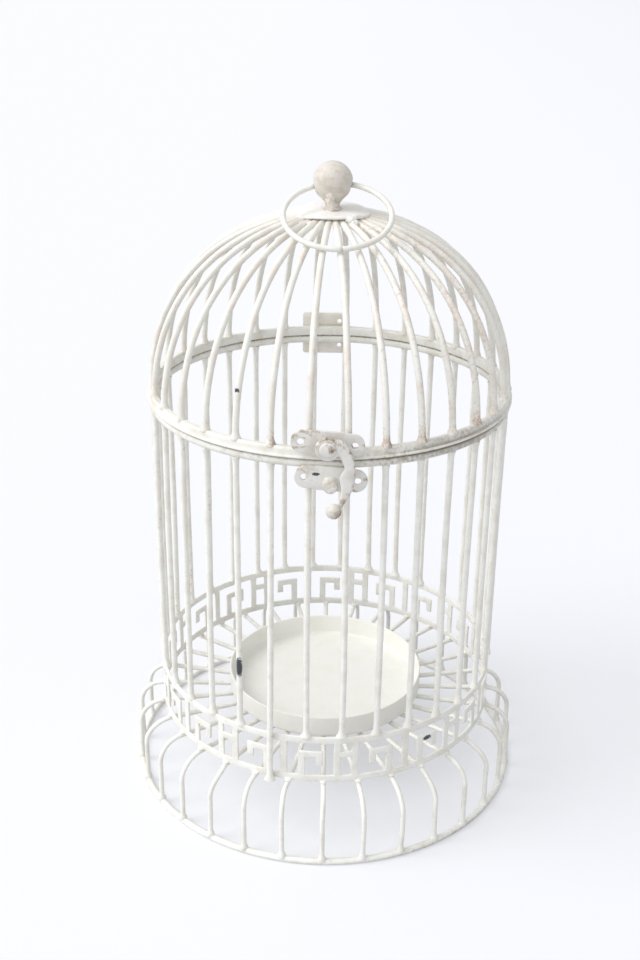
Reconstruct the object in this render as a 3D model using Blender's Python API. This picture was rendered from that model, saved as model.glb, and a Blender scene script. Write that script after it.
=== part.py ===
"""A small painted wire bird cage, modelled at its real size.

The cage stands on its ground ring. A skirt of bent wires carries a pierced band with
a Greek key pattern, a dish, and 32 upright bars that end under a ring. A domed lid
of 32 ribs opens on a butt hinge at the back and is held by a swing hook at the front.
A loose ring handle passes through the ball on top.

Lengths are in metres. The front of the cage faces -Y, +X is to its right and +Z is up.
Angles round the cage start at the front and grow towards +X.
"""

import math

import bmesh
import bpy
import numpy as np
from mathutils import Matrix, Vector

# Seating and running gap between neighbouring pieces
CLEARANCE = 0.0003
# How far a cutting shape runs past what it cuts
OVERRUN = 0.0008
MERGE_DISTANCE = 0.000002

# Upright bars and the rings at the joint between body and lid
WIRE_COUNT = 32
CAGE_RADIUS = 0.0700
BAR_RADIUS = 0.0012
BAR_WELD_RADIUS = 0.0018
BAR_WELD_LENGTH = 0.0022
JOINT_HEIGHT = 0.1700
BODY_RING_HEIGHT = 0.0033
BODY_RING_WIDTH = 0.0032
LID_RING_HEIGHT = 0.0037
LID_RING_WIDTH = 0.0030
LID_LIP_REACH = 0.0004
LID_LIP_HEIGHT = 0.0009

# Dome: a superellipse whose power sets how full its shoulder is
DOME_RISE = 0.0700
DOME_POWER = 2.2
RIB_RADIUS = 0.00125
RIB_WELD_RADIUS = 0.0020
RIB_WELD_LENGTH = 0.0024
CAP_RADIUS = 0.0145
CAP_THICKNESS = 0.0012
CROWN_INSET = 0.0009
CROWN_WIDTH = 0.0050
CROWN_THICKNESS = 0.0016

# Ball on top and the ring handle through it
BALL_RADIUS = 0.0075
BALL_RISE = 0.0101
NECK_RADIUS = 0.0027
NECK_HEIGHT = 0.0017
NECK_BLEND_DEGREES = -45
HANDLE_RADIUS = 0.0198
# How far the ring has slid to the right through the ball
HANDLE_SHIFT = 0.0019
HANDLE_WIRE_RADIUS = 0.00105
HANDLE_HOLE_DROP = 0.0015

# Skirt of bent wires, the radial floor wires and the ground ring
SKIRT_FLARE = 0.0114
SKIRT_WIRE_RADIUS = 0.0010
GROUND_WIRE_RADIUS = 0.0013
RING_ROUNDING_SHARE = 0.24
FLOOR_HEIGHT = 0.0303
SHOULDER_DROP = 0.0100
FLOOR_WIRE_LAP = 0.0118
# How high a skirt wire ends inside the ground ring, as a share of its half height
SKIRT_FOOT_SHARE = 0.8

# Pierced band with the key pattern
BAND_HEIGHT = 0.0209
BAND_THICKNESS = 0.0010
BAND_STRIPS = 2
KEY_PERIODS = 4.5
KEY_BAR_WIDTH = 0.0028
KEY_RAIL_HEIGHT = 0.0030
KEY_LINK_LOW_SHARE = 0.545
KEY_STUB_LOW_SHARE = 0.365
BAND_SEAM_DEGREES = -72.8
KEY_BARS = ("full", "stub", "post", "full", "post", "stub", "full")
KEY_LINKS = (False, True, False, False, True, False, True)

# Dish on the floor wires
TRAY_RADIUS = 0.04175
TRAY_HEIGHT = 0.0098
TRAY_THICKNESS = 0.0008
TRAY_CORNER = 0.0020

# Butt hinge at the back
HINGE_WIDTH = 0.0207
HINGE_LEAF_HEIGHT = 0.0094
HINGE_SHEET = 0.0008
KNUCKLE_RADIUS = 0.00175
KNUCKLE_COUNT = 5
# A leaf is rolled round the pin from the angle of its sheet, past a whole turn less a gap
ROLL_START_DEGREES = 180
ROLL_END_DEGREES = 460
HINGE_OFFSET = -0.0020
HINGE_HOLE_RADIUS = 0.0010
HINGE_HOLE_SPACING = 0.0120
PIN_HEAD_RADIUS = 0.0011
PIN_HEAD_LENGTH = 0.0006

# Clasp plates, hook, rivet and catch stud at the front
PLATE_THICKNESS = 0.0012
PLATE_LENGTH = 0.0258
PLATE_HOLE_SPACING = 0.0189
PLATE_HOLE_RADIUS = 0.0013
PLATE_END_RADIUS = 0.0042
PLATE_MIDDLE_WIDTH = 0.0117
PLATE_MIDDLE_HEIGHT = 0.0090
UPPER_PLATE_RISE = 0.0068
LOWER_PLATE_DROP = 0.0065
UPPER_PLATE_OFFSET = -0.0003
LOWER_PLATE_OFFSET = 0.0010
# Both plates sit askew, with their right ends lower
UPPER_PLATE_TILT = math.radians(4.0)
LOWER_PLATE_TILT = math.radians(4.5)
HOOK_STANDOFF = 0.0036
HOOK_THICKNESS = 0.0018
HOOK_EYE_RADIUS = 0.0043
KNOB_RADIUS = 0.0028
KNOB_HALF_DEPTH = 0.0025
KNOB_BELOW_PLATE = 0.0095
SHANK_RADIUS = 0.0012
TAIL_RADIUS = 0.0019
TAIL_THICKNESS = 0.0005
COLLAR_RADIUS = 0.0026
RIVET_HEAD_RADIUS = 0.0030
RIVET_HEAD_HEIGHT = 0.0012
STUD_RADIUS = 0.0023
STUD_ROUNDING = 0.0007
STUD_DROP = 0.0018

# Arm of the hook from eye to knob: sideways, downwards and width, as shares of its drop
HOOK_ARM_SHARES = (
    (0.114, -0.053, 0.206),
    (0.208, -0.009, 0.215),
    (0.298, 0.145, 0.184),
    (0.340, 0.320, 0.167),
    (0.307, 0.478, 0.235),
    (0.305, 0.610, 0.197),
    (0.285, 0.724, 0.145),
    (0.246, 0.829, 0.101),
    (0.206, 0.917, 0.088),
    (0.145, 0.982, 0.096),
)
KNOB_SIDE_SHARE = 0.105
# Corners of the arm's cushion-shaped section, as shares of its half width and thickness
ARM_SECTION_SHARES = (
    (1.0, 0.2),
    (1.0, 0.75),
    (0.6, 1.0),
    (-0.6, 1.0),
    (-1.0, 0.75),
    (-1.0, 0.2),
    (-0.8, 0.0),
    (0.8, 0.0),
)

# Counts of facets
WIRE_SIDES = 6
RING_STEPS = 48
DISH_STEPS = 40
CAP_STEPS = 32
BALL_STEPS = 20
TURNED_STEPS = 16
HOLE_STEPS = 10
RIB_STEPS = 6
SHOULDER_STEPS = 4
ARC_STEPS = 8
CORNER_STEPS = 3
HEAD_STEPS = 3
CLEARANCE_SAMPLES = 256
HALVING_STEPS = 24
SMOOTH_ANGLE = math.radians(40)

# Colours are linear, as red, green and blue
CREAM = (0.86, 0.83, 0.74)
RUBBED_CREAM = (0.76, 0.70, 0.60)
AGED_CREAM = (0.72, 0.66, 0.56)
DISH_CREAM = (0.84, 0.81, 0.72)

# Heights and radii that follow from the sizes above
PITCH_ANGLE = math.tau / WIRE_COUNT
BAND_INNER_RADIUS = CAGE_RADIUS - BAND_THICKNESS / 4
BAND_OUTER_RADIUS = BAND_INNER_RADIUS + BAND_THICKNESS
GROUND_RING_RADIUS = CAGE_RADIUS + SKIRT_FLARE
FLOOR_TOP = FLOOR_HEIGHT + SKIRT_WIRE_RADIUS
SEAT_HEIGHT = FLOOR_TOP + CLEARANCE
BAND_TOP = SEAT_HEIGHT + BAND_HEIGHT
BODY_RING_TOP = JOINT_HEIGHT - CLEARANCE / 2
BODY_RING_BOTTOM = BODY_RING_TOP - BODY_RING_HEIGHT
LID_RING_BOTTOM = JOINT_HEIGHT + CLEARANCE / 2
LID_RING_TOP = LID_RING_BOTTOM + LID_RING_HEIGHT
LID_RING_REACH = CAGE_RADIUS + LID_RING_WIDTH / 2 + LID_LIP_REACH
BODY_RING_REACH = CAGE_RADIUS + BODY_RING_WIDTH / 2
FITTING_DISTANCE = max(LID_RING_REACH, BODY_RING_REACH) + CLEARANCE
CROWN_RADIUS = CAP_RADIUS - CROWN_INSET
HINGE_AXIS = Vector((HINGE_OFFSET, FITTING_DISTANCE + KNUCKLE_RADIUS, JOINT_HEIGHT))
PLATE_FRONT = FITTING_DISTANCE + PLATE_THICKNESS
UPPER_PLATE_CENTRE = Vector((UPPER_PLATE_OFFSET, -PLATE_FRONT, JOINT_HEIGHT + UPPER_PLATE_RISE))
LOWER_PLATE_CENTRE = Vector((LOWER_PLATE_OFFSET, -PLATE_FRONT, JOINT_HEIGHT - LOWER_PLATE_DROP))
STUD_DIRECTION = Vector((-math.sin(LOWER_PLATE_TILT), 0.0, -math.cos(LOWER_PLATE_TILT)))
STUD_CENTRE = LOWER_PLATE_CENTRE + STUD_DIRECTION * STUD_DROP
HOOK_DROP = UPPER_PLATE_RISE + LOWER_PLATE_DROP + KNOB_BELOW_PLATE


def clear_scene():
    """Removes whatever the file holds."""
    for item in list(bpy.data.objects):
        bpy.data.objects.remove(item, do_unlink=True)


def paint(name, colour, roughness, metallic=0.0):
    """Makes a paint as a Principled material."""
    material = bpy.data.materials.new(name)
    material.use_nodes = True
    shader = material.node_tree.nodes["Principled BSDF"]
    shader.inputs["Base Color"].default_value = (*colour, 1.0)
    shader.inputs["Roughness"].default_value = roughness
    shader.inputs["Metallic"].default_value = metallic
    return material


def finish_mesh(name, mesh_builder):
    """Turns a bmesh into a smooth-shaded mesh with its faces pointing out."""
    bmesh.ops.remove_doubles(mesh_builder, verts=mesh_builder.verts, dist=MERGE_DISTANCE)
    bmesh.ops.recalc_face_normals(mesh_builder, faces=mesh_builder.faces)
    mesh = bpy.data.meshes.new(name)
    mesh_builder.to_mesh(mesh)
    mesh_builder.free()
    mesh.shade_smooth()
    mesh.set_sharp_from_angle(angle=SMOOTH_ANGLE)
    return mesh


def add_object(name, mesh, material=None):
    """Links a mesh to the scene under a name, with its paint."""
    item = bpy.data.objects.new(name, mesh)
    bpy.context.scene.collection.objects.link(item)
    if material is not None and not mesh.materials:
        mesh.materials.append(material)
    return item


def add_tool(name, mesh):
    """Adds a guide that a Boolean uses and that isn't a piece itself."""
    item = add_object(name, mesh)
    item.hide_render = True
    item.display_type = "WIRE"
    return item


def combine(item, tool, operation, own_overlaps=False):
    """Joins a tool to a piece, or cuts it out."""
    modifier = item.modifiers.new(f"{operation.lower()}_{tool.name}", "BOOLEAN")
    modifier.operation = operation
    modifier.solver = "EXACT"
    modifier.use_self = own_overlaps
    modifier.object = tool


def carry(item, parent):
    """Parents a piece and keeps its place."""
    item.parent = parent
    item.location = item.location - parent.location


def turn_outline(mesh_builder, outline, steps, closed):
    """Spins an outline of radius and height once round Z."""
    points = [mesh_builder.verts.new((radius, 0.0, height)) for radius, height in outline]
    edges = [mesh_builder.edges.new(pair) for pair in zip(points, points[1:])]
    if closed:
        edges.append(mesh_builder.edges.new((points[-1], points[0])))
    bmesh.ops.spin(
        mesh_builder,
        geom=points + edges,
        cent=(0.0, 0.0, 0.0),
        axis=(0.0, 0.0, 1.0),
        angle=math.tau,
        steps=steps,
        use_merge=True,
    )


def turned_mesh(name, outline, steps, closed=False):
    """Makes a turned solid from one outline."""
    mesh_builder = bmesh.new()
    turn_outline(mesh_builder, outline, steps, closed)
    return finish_mesh(name, mesh_builder)


def cylinder_outline(radius, low, high):
    """Gives the outline of a plain cylinder between two heights."""
    return [(0.0, low), (radius, low), (radius, high), (0.0, high)]


def arc(centre, radius, start_degrees, end_degrees, steps):
    """Gives points along an arc in a plane."""
    angles = np.radians(np.linspace(start_degrees, end_degrees, steps + 1))
    return [(centre[0] + radius * math.cos(a), centre[1] + radius * math.sin(a)) for a in angles]


def add_wire(mesh_builder, path, radii, angle):
    """Adds a closed wire whose path of radius and height lies in one upright plane.

    A ring of vertices stands square to the path at each of its points, neighbouring
    rings are bridged, and the two end rings are filled.
    """
    points = np.array(path)
    directions = np.gradient(points, axis=0)
    directions /= np.linalg.norm(directions, axis=1)[:, None]
    outward = Vector((math.sin(angle), -math.cos(angle), 0.0))
    sideways = Vector((math.cos(angle), math.sin(angle), 0.0))
    rings = []
    for (radius, height), (run, rise), wire_radius in zip(points, directions, radii):
        centre = outward * radius + Vector((0.0, 0.0, height))
        square = outward * -rise + Vector((0.0, 0.0, run))
        ring = []
        for side in range(WIRE_SIDES):
            turn = math.tau * (side + 0.5) / WIRE_SIDES
            offset = (square * math.cos(turn) + sideways * math.sin(turn)) * wire_radius
            ring.append(mesh_builder.verts.new(centre + offset))
        rings.append(ring)
    for low, high in zip(rings, rings[1:]):
        for side in range(WIRE_SIDES):
            after = (side + 1) % WIRE_SIDES
            mesh_builder.faces.new((low[side], low[after], high[after], high[side]))
    mesh_builder.faces.new(rings[0])
    mesh_builder.faces.new(rings[-1])


def extruded_mesh(name, outline, depth_low, depth_high):
    """Makes a plate from an outline in the XY plane, between two depths along Z."""
    mesh_builder = bmesh.new()
    face = mesh_builder.faces.new([mesh_builder.verts.new((x, y, depth_low)) for x, y in outline])
    result = bmesh.ops.extrude_face_region(mesh_builder, geom=[face], use_keep_orig=True)
    moved = [item for item in result["geom"] if isinstance(item, bmesh.types.BMVert)]
    bmesh.ops.translate(mesh_builder, verts=moved, vec=(0.0, 0.0, depth_high - depth_low))
    return finish_mesh(name, mesh_builder)


def dome_point(turn):
    """Gives radius and height of the ribs' centreline for a turn from 0 to a right angle."""
    power = 2 / DOME_POWER
    radius = CAGE_RADIUS * math.cos(turn) ** power
    return radius, JOINT_HEIGHT + DOME_RISE * math.sin(turn) ** power


def dome_height(radius):
    """Gives the height of the ribs' centreline over a radius."""
    share = 1 - (radius / CAGE_RADIUS) ** DOME_POWER
    return JOINT_HEIGHT + DOME_RISE * share ** (1 / DOME_POWER)


def rib_end_radius():
    """Gives the radius at which the ribs end inside the crown washer."""
    return CROWN_RADIUS - CROWN_WIDTH / 3


def cap_bottom():
    """Gives the height of the cap's underside, just over the ribs."""
    return dome_height(rib_end_radius()) + RIB_RADIUS + CLEARANCE


def ball_centre_height():
    """Gives the height of the ball's centre over the cap."""
    return cap_bottom() + CAP_THICKNESS + BALL_RISE


def half_bow():
    """Gives half the height of the handle's arc inside the ball."""
    reach = BALL_RADIUS + HANDLE_SHIFT
    return (HANDLE_RADIUS - math.sqrt(HANDLE_RADIUS**2 - reach**2)) / 2


def handle_hole_centre():
    """Gives the middle of the cross hole in the ball, on the handle's axis."""
    return Vector((0.0, 0.0, ball_centre_height() - HANDLE_HOLE_DROP))


def handle_clearance(tilt):
    """Gives the least room between the tilted handle and the ribs and cap."""
    turns = np.linspace(0, math.tau, CLEARANCE_SAMPLES)
    reach = HANDLE_RADIUS - half_bow() - HANDLE_RADIUS * np.cos(turns)
    side = HANDLE_SHIFT + HANDLE_RADIUS * np.sin(turns)
    height = handle_hole_centre().z - reach * math.sin(tilt)
    radius = np.hypot(side, reach * math.cos(tilt))
    last = math.acos((rib_end_radius() / CAGE_RADIUS) ** (DOME_POWER / 2))
    dome = np.array([dome_point(turn) for turn in np.linspace(0, last, CLEARANCE_SAMPLES)])
    to_ribs = np.hypot(radius[:, None] - dome[:, 0], height[:, None] - dome[:, 1]).min()
    to_cap = np.hypot(radius - CAP_RADIUS, height - cap_bottom() - CAP_THICKNESS).min()
    return min(to_ribs - RIB_RADIUS, to_cap) - HANDLE_WIRE_RADIUS


def handle_rest_tilt():
    """Lowers the handle by halving steps until it lies just over the ribs."""
    high, low = 0.0, math.pi / 2
    for _ in range(HALVING_STEPS):
        middle = (high + low) / 2
        if handle_clearance(middle) > CLEARANCE:
            high = middle
        else:
            low = middle
    return high


def ring_outline(low, high, inner, outer):
    """Gives the closed outline of a ring with its corners taken off."""
    cut = (outer - inner) * RING_ROUNDING_SHARE
    return [
        (inner + cut, low),
        (outer - cut, low),
        (outer, (low + high) / 2),
        (outer - cut, high),
        (inner + cut, high),
        (inner, (low + high) / 2),
    ]


def make_skirt_frame():
    """The ground ring with the 32 bent wires, which run in under the dish as the floor."""
    outline = ring_outline(
        0.0,
        2 * GROUND_WIRE_RADIUS,
        GROUND_RING_RADIUS - GROUND_WIRE_RADIUS,
        GROUND_RING_RADIUS + GROUND_WIRE_RADIUS,
    )
    frame = add_object(
        "skirt_frame",
        turned_mesh("skirt_frame", outline, RING_STEPS, closed=True),
        paint("skirt_paint", CREAM, 0.5),
    )
    run = GROUND_RING_RADIUS - BAND_OUTER_RADIUS
    path = [(TRAY_RADIUS - FLOOR_WIRE_LAP, FLOOR_HEIGHT)]
    for step in range(SHOULDER_STEPS + 1):
        turn = math.pi / 2 * step / SHOULDER_STEPS
        height = FLOOR_HEIGHT - SHOULDER_DROP * (1 - math.cos(turn))
        path.append((BAND_OUTER_RADIUS + run * math.sin(turn), height))
    path.append((GROUND_RING_RADIUS, GROUND_WIRE_RADIUS * SKIRT_FOOT_SHARE))
    mesh_builder = bmesh.new()
    for number in range(WIRE_COUNT):
        add_wire(mesh_builder, path, [SKIRT_WIRE_RADIUS] * len(path), PITCH_ANGLE * number)
    combine(frame, add_tool("skirt_wires", finish_mesh("skirt_wires", mesh_builder)), "UNION")


def key_rows():
    """Gives the heights of the lines between the key pattern's rows, bottom to top."""
    link_low = BAND_HEIGHT * KEY_LINK_LOW_SHARE
    return [
        0.0,
        KEY_RAIL_HEIGHT,
        BAND_HEIGHT * KEY_STUB_LOW_SHARE,
        link_low,
        link_low + KEY_BAR_WIDTH,
        BAND_HEIGHT - KEY_RAIL_HEIGHT,
        BAND_HEIGHT,
    ]


def key_cells(kind):
    """Gives the rows that one column of the key pattern fills."""
    return {
        "full": (0, 1, 2, 3, 4, 5),
        "post": (0, 1, 2, 3, 5),
        "stub": (0, 2, 3, 5),
        "link": (0, 3, 5),
        "open": (0, 5),
    }[kind]


def key_columns(start, end):
    """Gives each column's two sides and its kind, between two angles of the round pattern."""
    bars = round(BAND_STRIPS * KEY_PERIODS * len(KEY_BARS))
    pitch = math.tau / bars
    half_bar = KEY_BAR_WIDTH / 2 / BAND_OUTER_RADIUS
    columns = []
    for number in range(-1, bars):
        centre = (number + 0.5) * pitch
        link = "link" if KEY_LINKS[number % len(KEY_LINKS)] else "open"
        columns.append((centre - half_bar, centre + half_bar, KEY_BARS[number % len(KEY_BARS)]))
        columns.append((centre + half_bar, centre + pitch - half_bar, link))
    clipped = [(max(left, start), min(right, end), kind) for left, right, kind in columns]
    return [column for column in clipped if column[1] > column[0]]


def make_band_strip(name, columns, material):
    """One half-round strip of the pierced band, as an extruded sheet of facets."""
    mesh_builder = bmesh.new()
    rows = key_rows()
    inside = []
    corners = {}

    def corner(angle, row):
        key = (round(angle / MERGE_DISTANCE), row)
        if key not in corners:
            turned = math.radians(BAND_SEAM_DEGREES) + angle
            place = Vector((math.sin(turned), -math.cos(turned), 0.0)) * BAND_OUTER_RADIUS
            corners[key] = mesh_builder.verts.new(place + Vector((0.0, 0.0, SEAT_HEIGHT + rows[row])))
        return corners[key]

    for left, right, kind in columns:
        cells = key_cells(kind)
        for row in cells:
            low = (corner(left, row), corner(right, row))
            high = (corner(left, row + 1), corner(right, row + 1))
            mesh_builder.faces.new((low[0], low[1], high[1], high[0]))
            alone = not {row - 1, row + 1} & set(cells)
            if row + 1 in cells:
                inside.append(mesh_builder.edges.get(high))
            if alone and kind in ("stub", "post"):
                inside.append(mesh_builder.edges.get((low[1], high[1])))
    bmesh.ops.dissolve_edges(mesh_builder, edges=inside, use_verts=True)
    outside = list(mesh_builder.faces)
    result = bmesh.ops.extrude_face_region(mesh_builder, geom=outside, use_keep_orig=True)
    inner = [item for item in result["geom"] if isinstance(item, bmesh.types.BMVert)]
    share = BAND_INNER_RADIUS / BAND_OUTER_RADIUS
    bmesh.ops.scale(mesh_builder, vec=(share, share, 1.0), verts=inner)
    add_object(name, finish_mesh(name, mesh_builder), material)


def make_band():
    """The two strips of the pierced band. One seam is in a rung and one beside a whole bar."""
    half_seam = CLEARANCE / 2 / BAND_INNER_RADIUS
    middle = math.tau / BAND_STRIPS + KEY_BAR_WIDTH / 2 / BAND_OUTER_RADIUS
    front = key_columns(half_seam, middle - half_seam)
    back = key_columns(middle + half_seam, math.tau - half_seam)
    make_band_strip("band_front_strip", front, paint("band_front_paint", CREAM, 0.5))
    make_band_strip("band_back_strip", back, paint("band_back_paint", CREAM, 0.5))


def make_tray():
    """The pressed dish with an upright wall and a rounded corner."""
    low = SEAT_HEIGHT
    inner_corner = TRAY_CORNER - TRAY_THICKNESS
    centre = (TRAY_RADIUS - TRAY_CORNER, low + TRAY_CORNER)
    outline = [(0.0, low)]
    outline += arc(centre, TRAY_CORNER, -90, 0, CORNER_STEPS)
    outline += [(TRAY_RADIUS, low + TRAY_HEIGHT), (TRAY_RADIUS - TRAY_THICKNESS, low + TRAY_HEIGHT)]
    outline += arc(centre, inner_corner, 0, -90, CORNER_STEPS - 1)
    outline.append((0.0, low + TRAY_THICKNESS))
    mesh = turned_mesh("tray", outline, DISH_STEPS)
    add_object("tray", mesh, paint("tray_paint", DISH_CREAM, 0.45))


def bar_path(foot_radius, foot_height):
    """Gives the four points of an upright bar, with a short weld at each end."""
    top = BODY_RING_BOTTOM - CLEARANCE
    foot, head = Vector((foot_radius, foot_height)), Vector((CAGE_RADIUS, top))
    along = (head - foot).normalized() * BAR_WELD_LENGTH
    return [tuple(point) for point in (foot, foot + along, head - along, head)]


def make_body_bars():
    """The 32 upright bars. One of them runs down over the outside of the band."""
    radii = [BAR_WELD_RADIUS, BAR_RADIUS, BAR_RADIUS, BAR_WELD_RADIUS]
    mesh_builder = bmesh.new()
    add_wire(mesh_builder, bar_path(CAGE_RADIUS, BAND_TOP + CLEARANCE), radii, 0.0)
    standing = finish_mesh("standing_bar", mesh_builder)
    mesh_builder = bmesh.new()
    reach = BAND_OUTER_RADIUS + CLEARANCE + BAR_RADIUS
    length_share = (BODY_RING_BOTTOM - SEAT_HEIGHT) / (BODY_RING_BOTTOM - BAND_TOP)
    foot_radius = CAGE_RADIUS + (reach - CAGE_RADIUS) * length_share
    radii = [BAR_RADIUS, BAR_RADIUS, BAR_RADIUS, BAR_WELD_RADIUS]
    add_wire(mesh_builder, bar_path(foot_radius, SEAT_HEIGHT), radii, 0.0)
    leaning = finish_mesh("leaning_bar", mesh_builder)
    material = paint("bar_paint", CREAM, 0.5)
    for number in range(WIRE_COUNT):
        mesh = leaning if number == WIRE_COUNT - 2 else standing
        bar = add_object(f"body_bar_{number + 1:02d}", mesh, material)
        bar.rotation_euler.z = PITCH_ANGLE * (number + 0.5)


def make_body_ring():
    """The ring that the bars end under, at the top of the body."""
    outline = ring_outline(
        BODY_RING_BOTTOM,
        BODY_RING_TOP,
        CAGE_RADIUS - BODY_RING_WIDTH / 2,
        CAGE_RADIUS + BODY_RING_WIDTH / 2,
    )
    mesh = turned_mesh("body_ring", outline, RING_STEPS, closed=True)
    add_object("body_ring", mesh, paint("body_ring_paint", CREAM, 0.5))


def make_lid_ring(lid):
    """The rim of the lid, with a narrow lip along its lower edge."""
    inner, outer = CAGE_RADIUS - LID_RING_WIDTH / 2, CAGE_RADIUS + LID_RING_WIDTH / 2
    cut = LID_RING_WIDTH / 4
    outline = [
        (inner, LID_RING_BOTTOM),
        (LID_RING_REACH, LID_RING_BOTTOM),
        (LID_RING_REACH, LID_RING_BOTTOM + LID_LIP_HEIGHT / 2),
        (outer, LID_RING_BOTTOM + LID_LIP_HEIGHT),
        (outer, LID_RING_TOP - cut),
        (outer - cut, LID_RING_TOP),
        (inner + cut, LID_RING_TOP),
        (inner, LID_RING_TOP - cut),
    ]
    mesh = turned_mesh("lid_ring", outline, RING_STEPS, closed=True)
    carry(add_object("lid_ring", mesh, paint("lid_ring_paint", RUBBED_CREAM, 0.5)), lid)


def make_dome_ribs(lid):
    """The 32 bent ribs, welded to a washer under the cap."""
    foot = LID_RING_TOP + CLEARANCE
    first = math.asin(((foot - JOINT_HEIGHT) / DOME_RISE) ** (DOME_POWER / 2))
    last = math.acos((rib_end_radius() / CAGE_RADIUS) ** (DOME_POWER / 2))
    weld = first + RIB_WELD_LENGTH / DOME_RISE
    turns = [first, *np.linspace(weld, last, RIB_STEPS)]
    path = [dome_point(turn) for turn in turns]
    path[0] = (path[1][0], foot)
    radii = [RIB_WELD_RADIUS] + [RIB_RADIUS] * RIB_STEPS
    mesh_builder = bmesh.new()
    for number in range(WIRE_COUNT):
        add_wire(mesh_builder, path, radii, PITCH_ANGLE * (number + 0.5))
    ribs = add_tool("rib_wires", finish_mesh("rib_wires", mesh_builder))
    middle = dome_height(rib_end_radius())
    low, high = middle - CROWN_THICKNESS / 2, middle + CROWN_THICKNESS / 2
    inner = CROWN_RADIUS - CROWN_WIDTH
    outline = [(inner, low), (CROWN_RADIUS, low), (CROWN_RADIUS, high), (inner, high)]
    mesh = turned_mesh("dome_ribs", outline, WIRE_COUNT, closed=True)
    dome = add_object("dome_ribs", mesh, paint("rib_paint", RUBBED_CREAM, 0.55))
    combine(dome, ribs, "UNION", own_overlaps=True)
    carry(dome, lid)
    carry(ribs, lid)


def make_cap(lid):
    """The disc over the ends of the ribs."""
    low, high = cap_bottom(), cap_bottom() + CAP_THICKNESS
    edge = CAP_THICKNESS / 2
    outline = [(0.0, low), (CAP_RADIUS - edge, low), (CAP_RADIUS, low + edge)]
    outline += [(CAP_RADIUS - edge, high), (0.0, high)]
    mesh = turned_mesh("cap_disc", outline, CAP_STEPS)
    carry(add_object("cap_disc", mesh, paint("cap_paint", RUBBED_CREAM, 0.5)), lid)


def make_finial(lid):
    """The ball with its tapered neck and the cross hole for the handle."""
    base = cap_bottom() + CAP_THICKNESS + CLEARANCE
    centre = ball_centre_height()
    outline = [(0.0, base), (NECK_RADIUS + NECK_HEIGHT / 4, base), (NECK_RADIUS, base + NECK_HEIGHT)]
    outline += arc((0.0, centre), BALL_RADIUS, NECK_BLEND_DEGREES, 90, ARC_STEPS)[:-1]
    outline.append((0.0, centre + BALL_RADIUS))
    mesh = turned_mesh("finial_ball", outline, BALL_STEPS)
    ball = add_object("finial_ball", mesh, paint("finial_paint", AGED_CREAM, 0.6))
    hole_radius = HANDLE_WIRE_RADIUS + half_bow() + CLEARANCE
    reach = BALL_RADIUS + OVERRUN
    hole = cylinder_outline(hole_radius, -reach, reach)
    tool = add_tool("handle_hole", turned_mesh("handle_hole", hole, TURNED_STEPS))
    tool.rotation_euler.y = math.pi / 2
    tool.location = handle_hole_centre()
    combine(ball, tool, "DIFFERENCE")
    carry(ball, lid)
    carry(tool, lid)


def make_handle(lid):
    """The ring handle. Its origin is the axis through the ball, and it lies to the front."""
    mesh_builder = bmesh.new()
    section = arc((HANDLE_RADIUS, 0.0), HANDLE_WIRE_RADIUS, 0, 360, WIRE_SIDES)[:-1]
    turn_outline(mesh_builder, section, DISH_STEPS, closed=True)
    middle = (HANDLE_SHIFT, half_bow() - HANDLE_RADIUS, 0.0)
    bmesh.ops.translate(mesh_builder, verts=mesh_builder.verts, vec=middle)
    material = paint("handle_paint", CREAM, 0.45)
    handle = add_object("ring_handle", finish_mesh("ring_handle", mesh_builder), material)
    handle.location = handle_hole_centre()
    handle.rotation_euler.x = handle_rest_tilt()
    carry(handle, lid)


def leaf_outline():
    """Gives the section of a hinge leaf: a flat sheet rolled round the pin at one end."""
    bore = KNUCKLE_RADIUS - HINGE_SHEET
    outline = [(-KNUCKLE_RADIUS, HINGE_LEAF_HEIGHT)]
    outline += arc((0.0, 0.0), KNUCKLE_RADIUS, ROLL_START_DEGREES, ROLL_END_DEGREES, 2 * ARC_STEPS)
    outline += arc((0.0, 0.0), bore, ROLL_END_DEGREES, ROLL_START_DEGREES, HOLE_STEPS)
    outline.append((-bore, HINGE_LEAF_HEIGHT))
    return outline


def hinge_notches(name, taken):
    """Makes the boxes that clear the other leaf's knuckles out of a leaf."""
    mesh_builder = bmesh.new()
    step = HINGE_WIDTH / KNUCKLE_COUNT
    half_gap = CLEARANCE / 2
    reach = KNUCKLE_RADIUS + CLEARANCE
    for number in taken:
        last = number == KNUCKLE_COUNT - 1
        left = number * step - HINGE_WIDTH / 2 - (half_gap if number else OVERRUN)
        right = (number + 1) * step - HINGE_WIDTH / 2 + (OVERRUN if last else half_gap)
        corners = bmesh.ops.create_cube(mesh_builder, size=1.0)["verts"]
        size = (2 * reach + OVERRUN, 2 * reach, right - left)
        bmesh.ops.scale(mesh_builder, verts=corners, vec=size)
        bmesh.ops.translate(mesh_builder, verts=corners, vec=(0.0, 0.0, (left + right) / 2))
    return add_tool(name, finish_mesh(name, mesh_builder))


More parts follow.
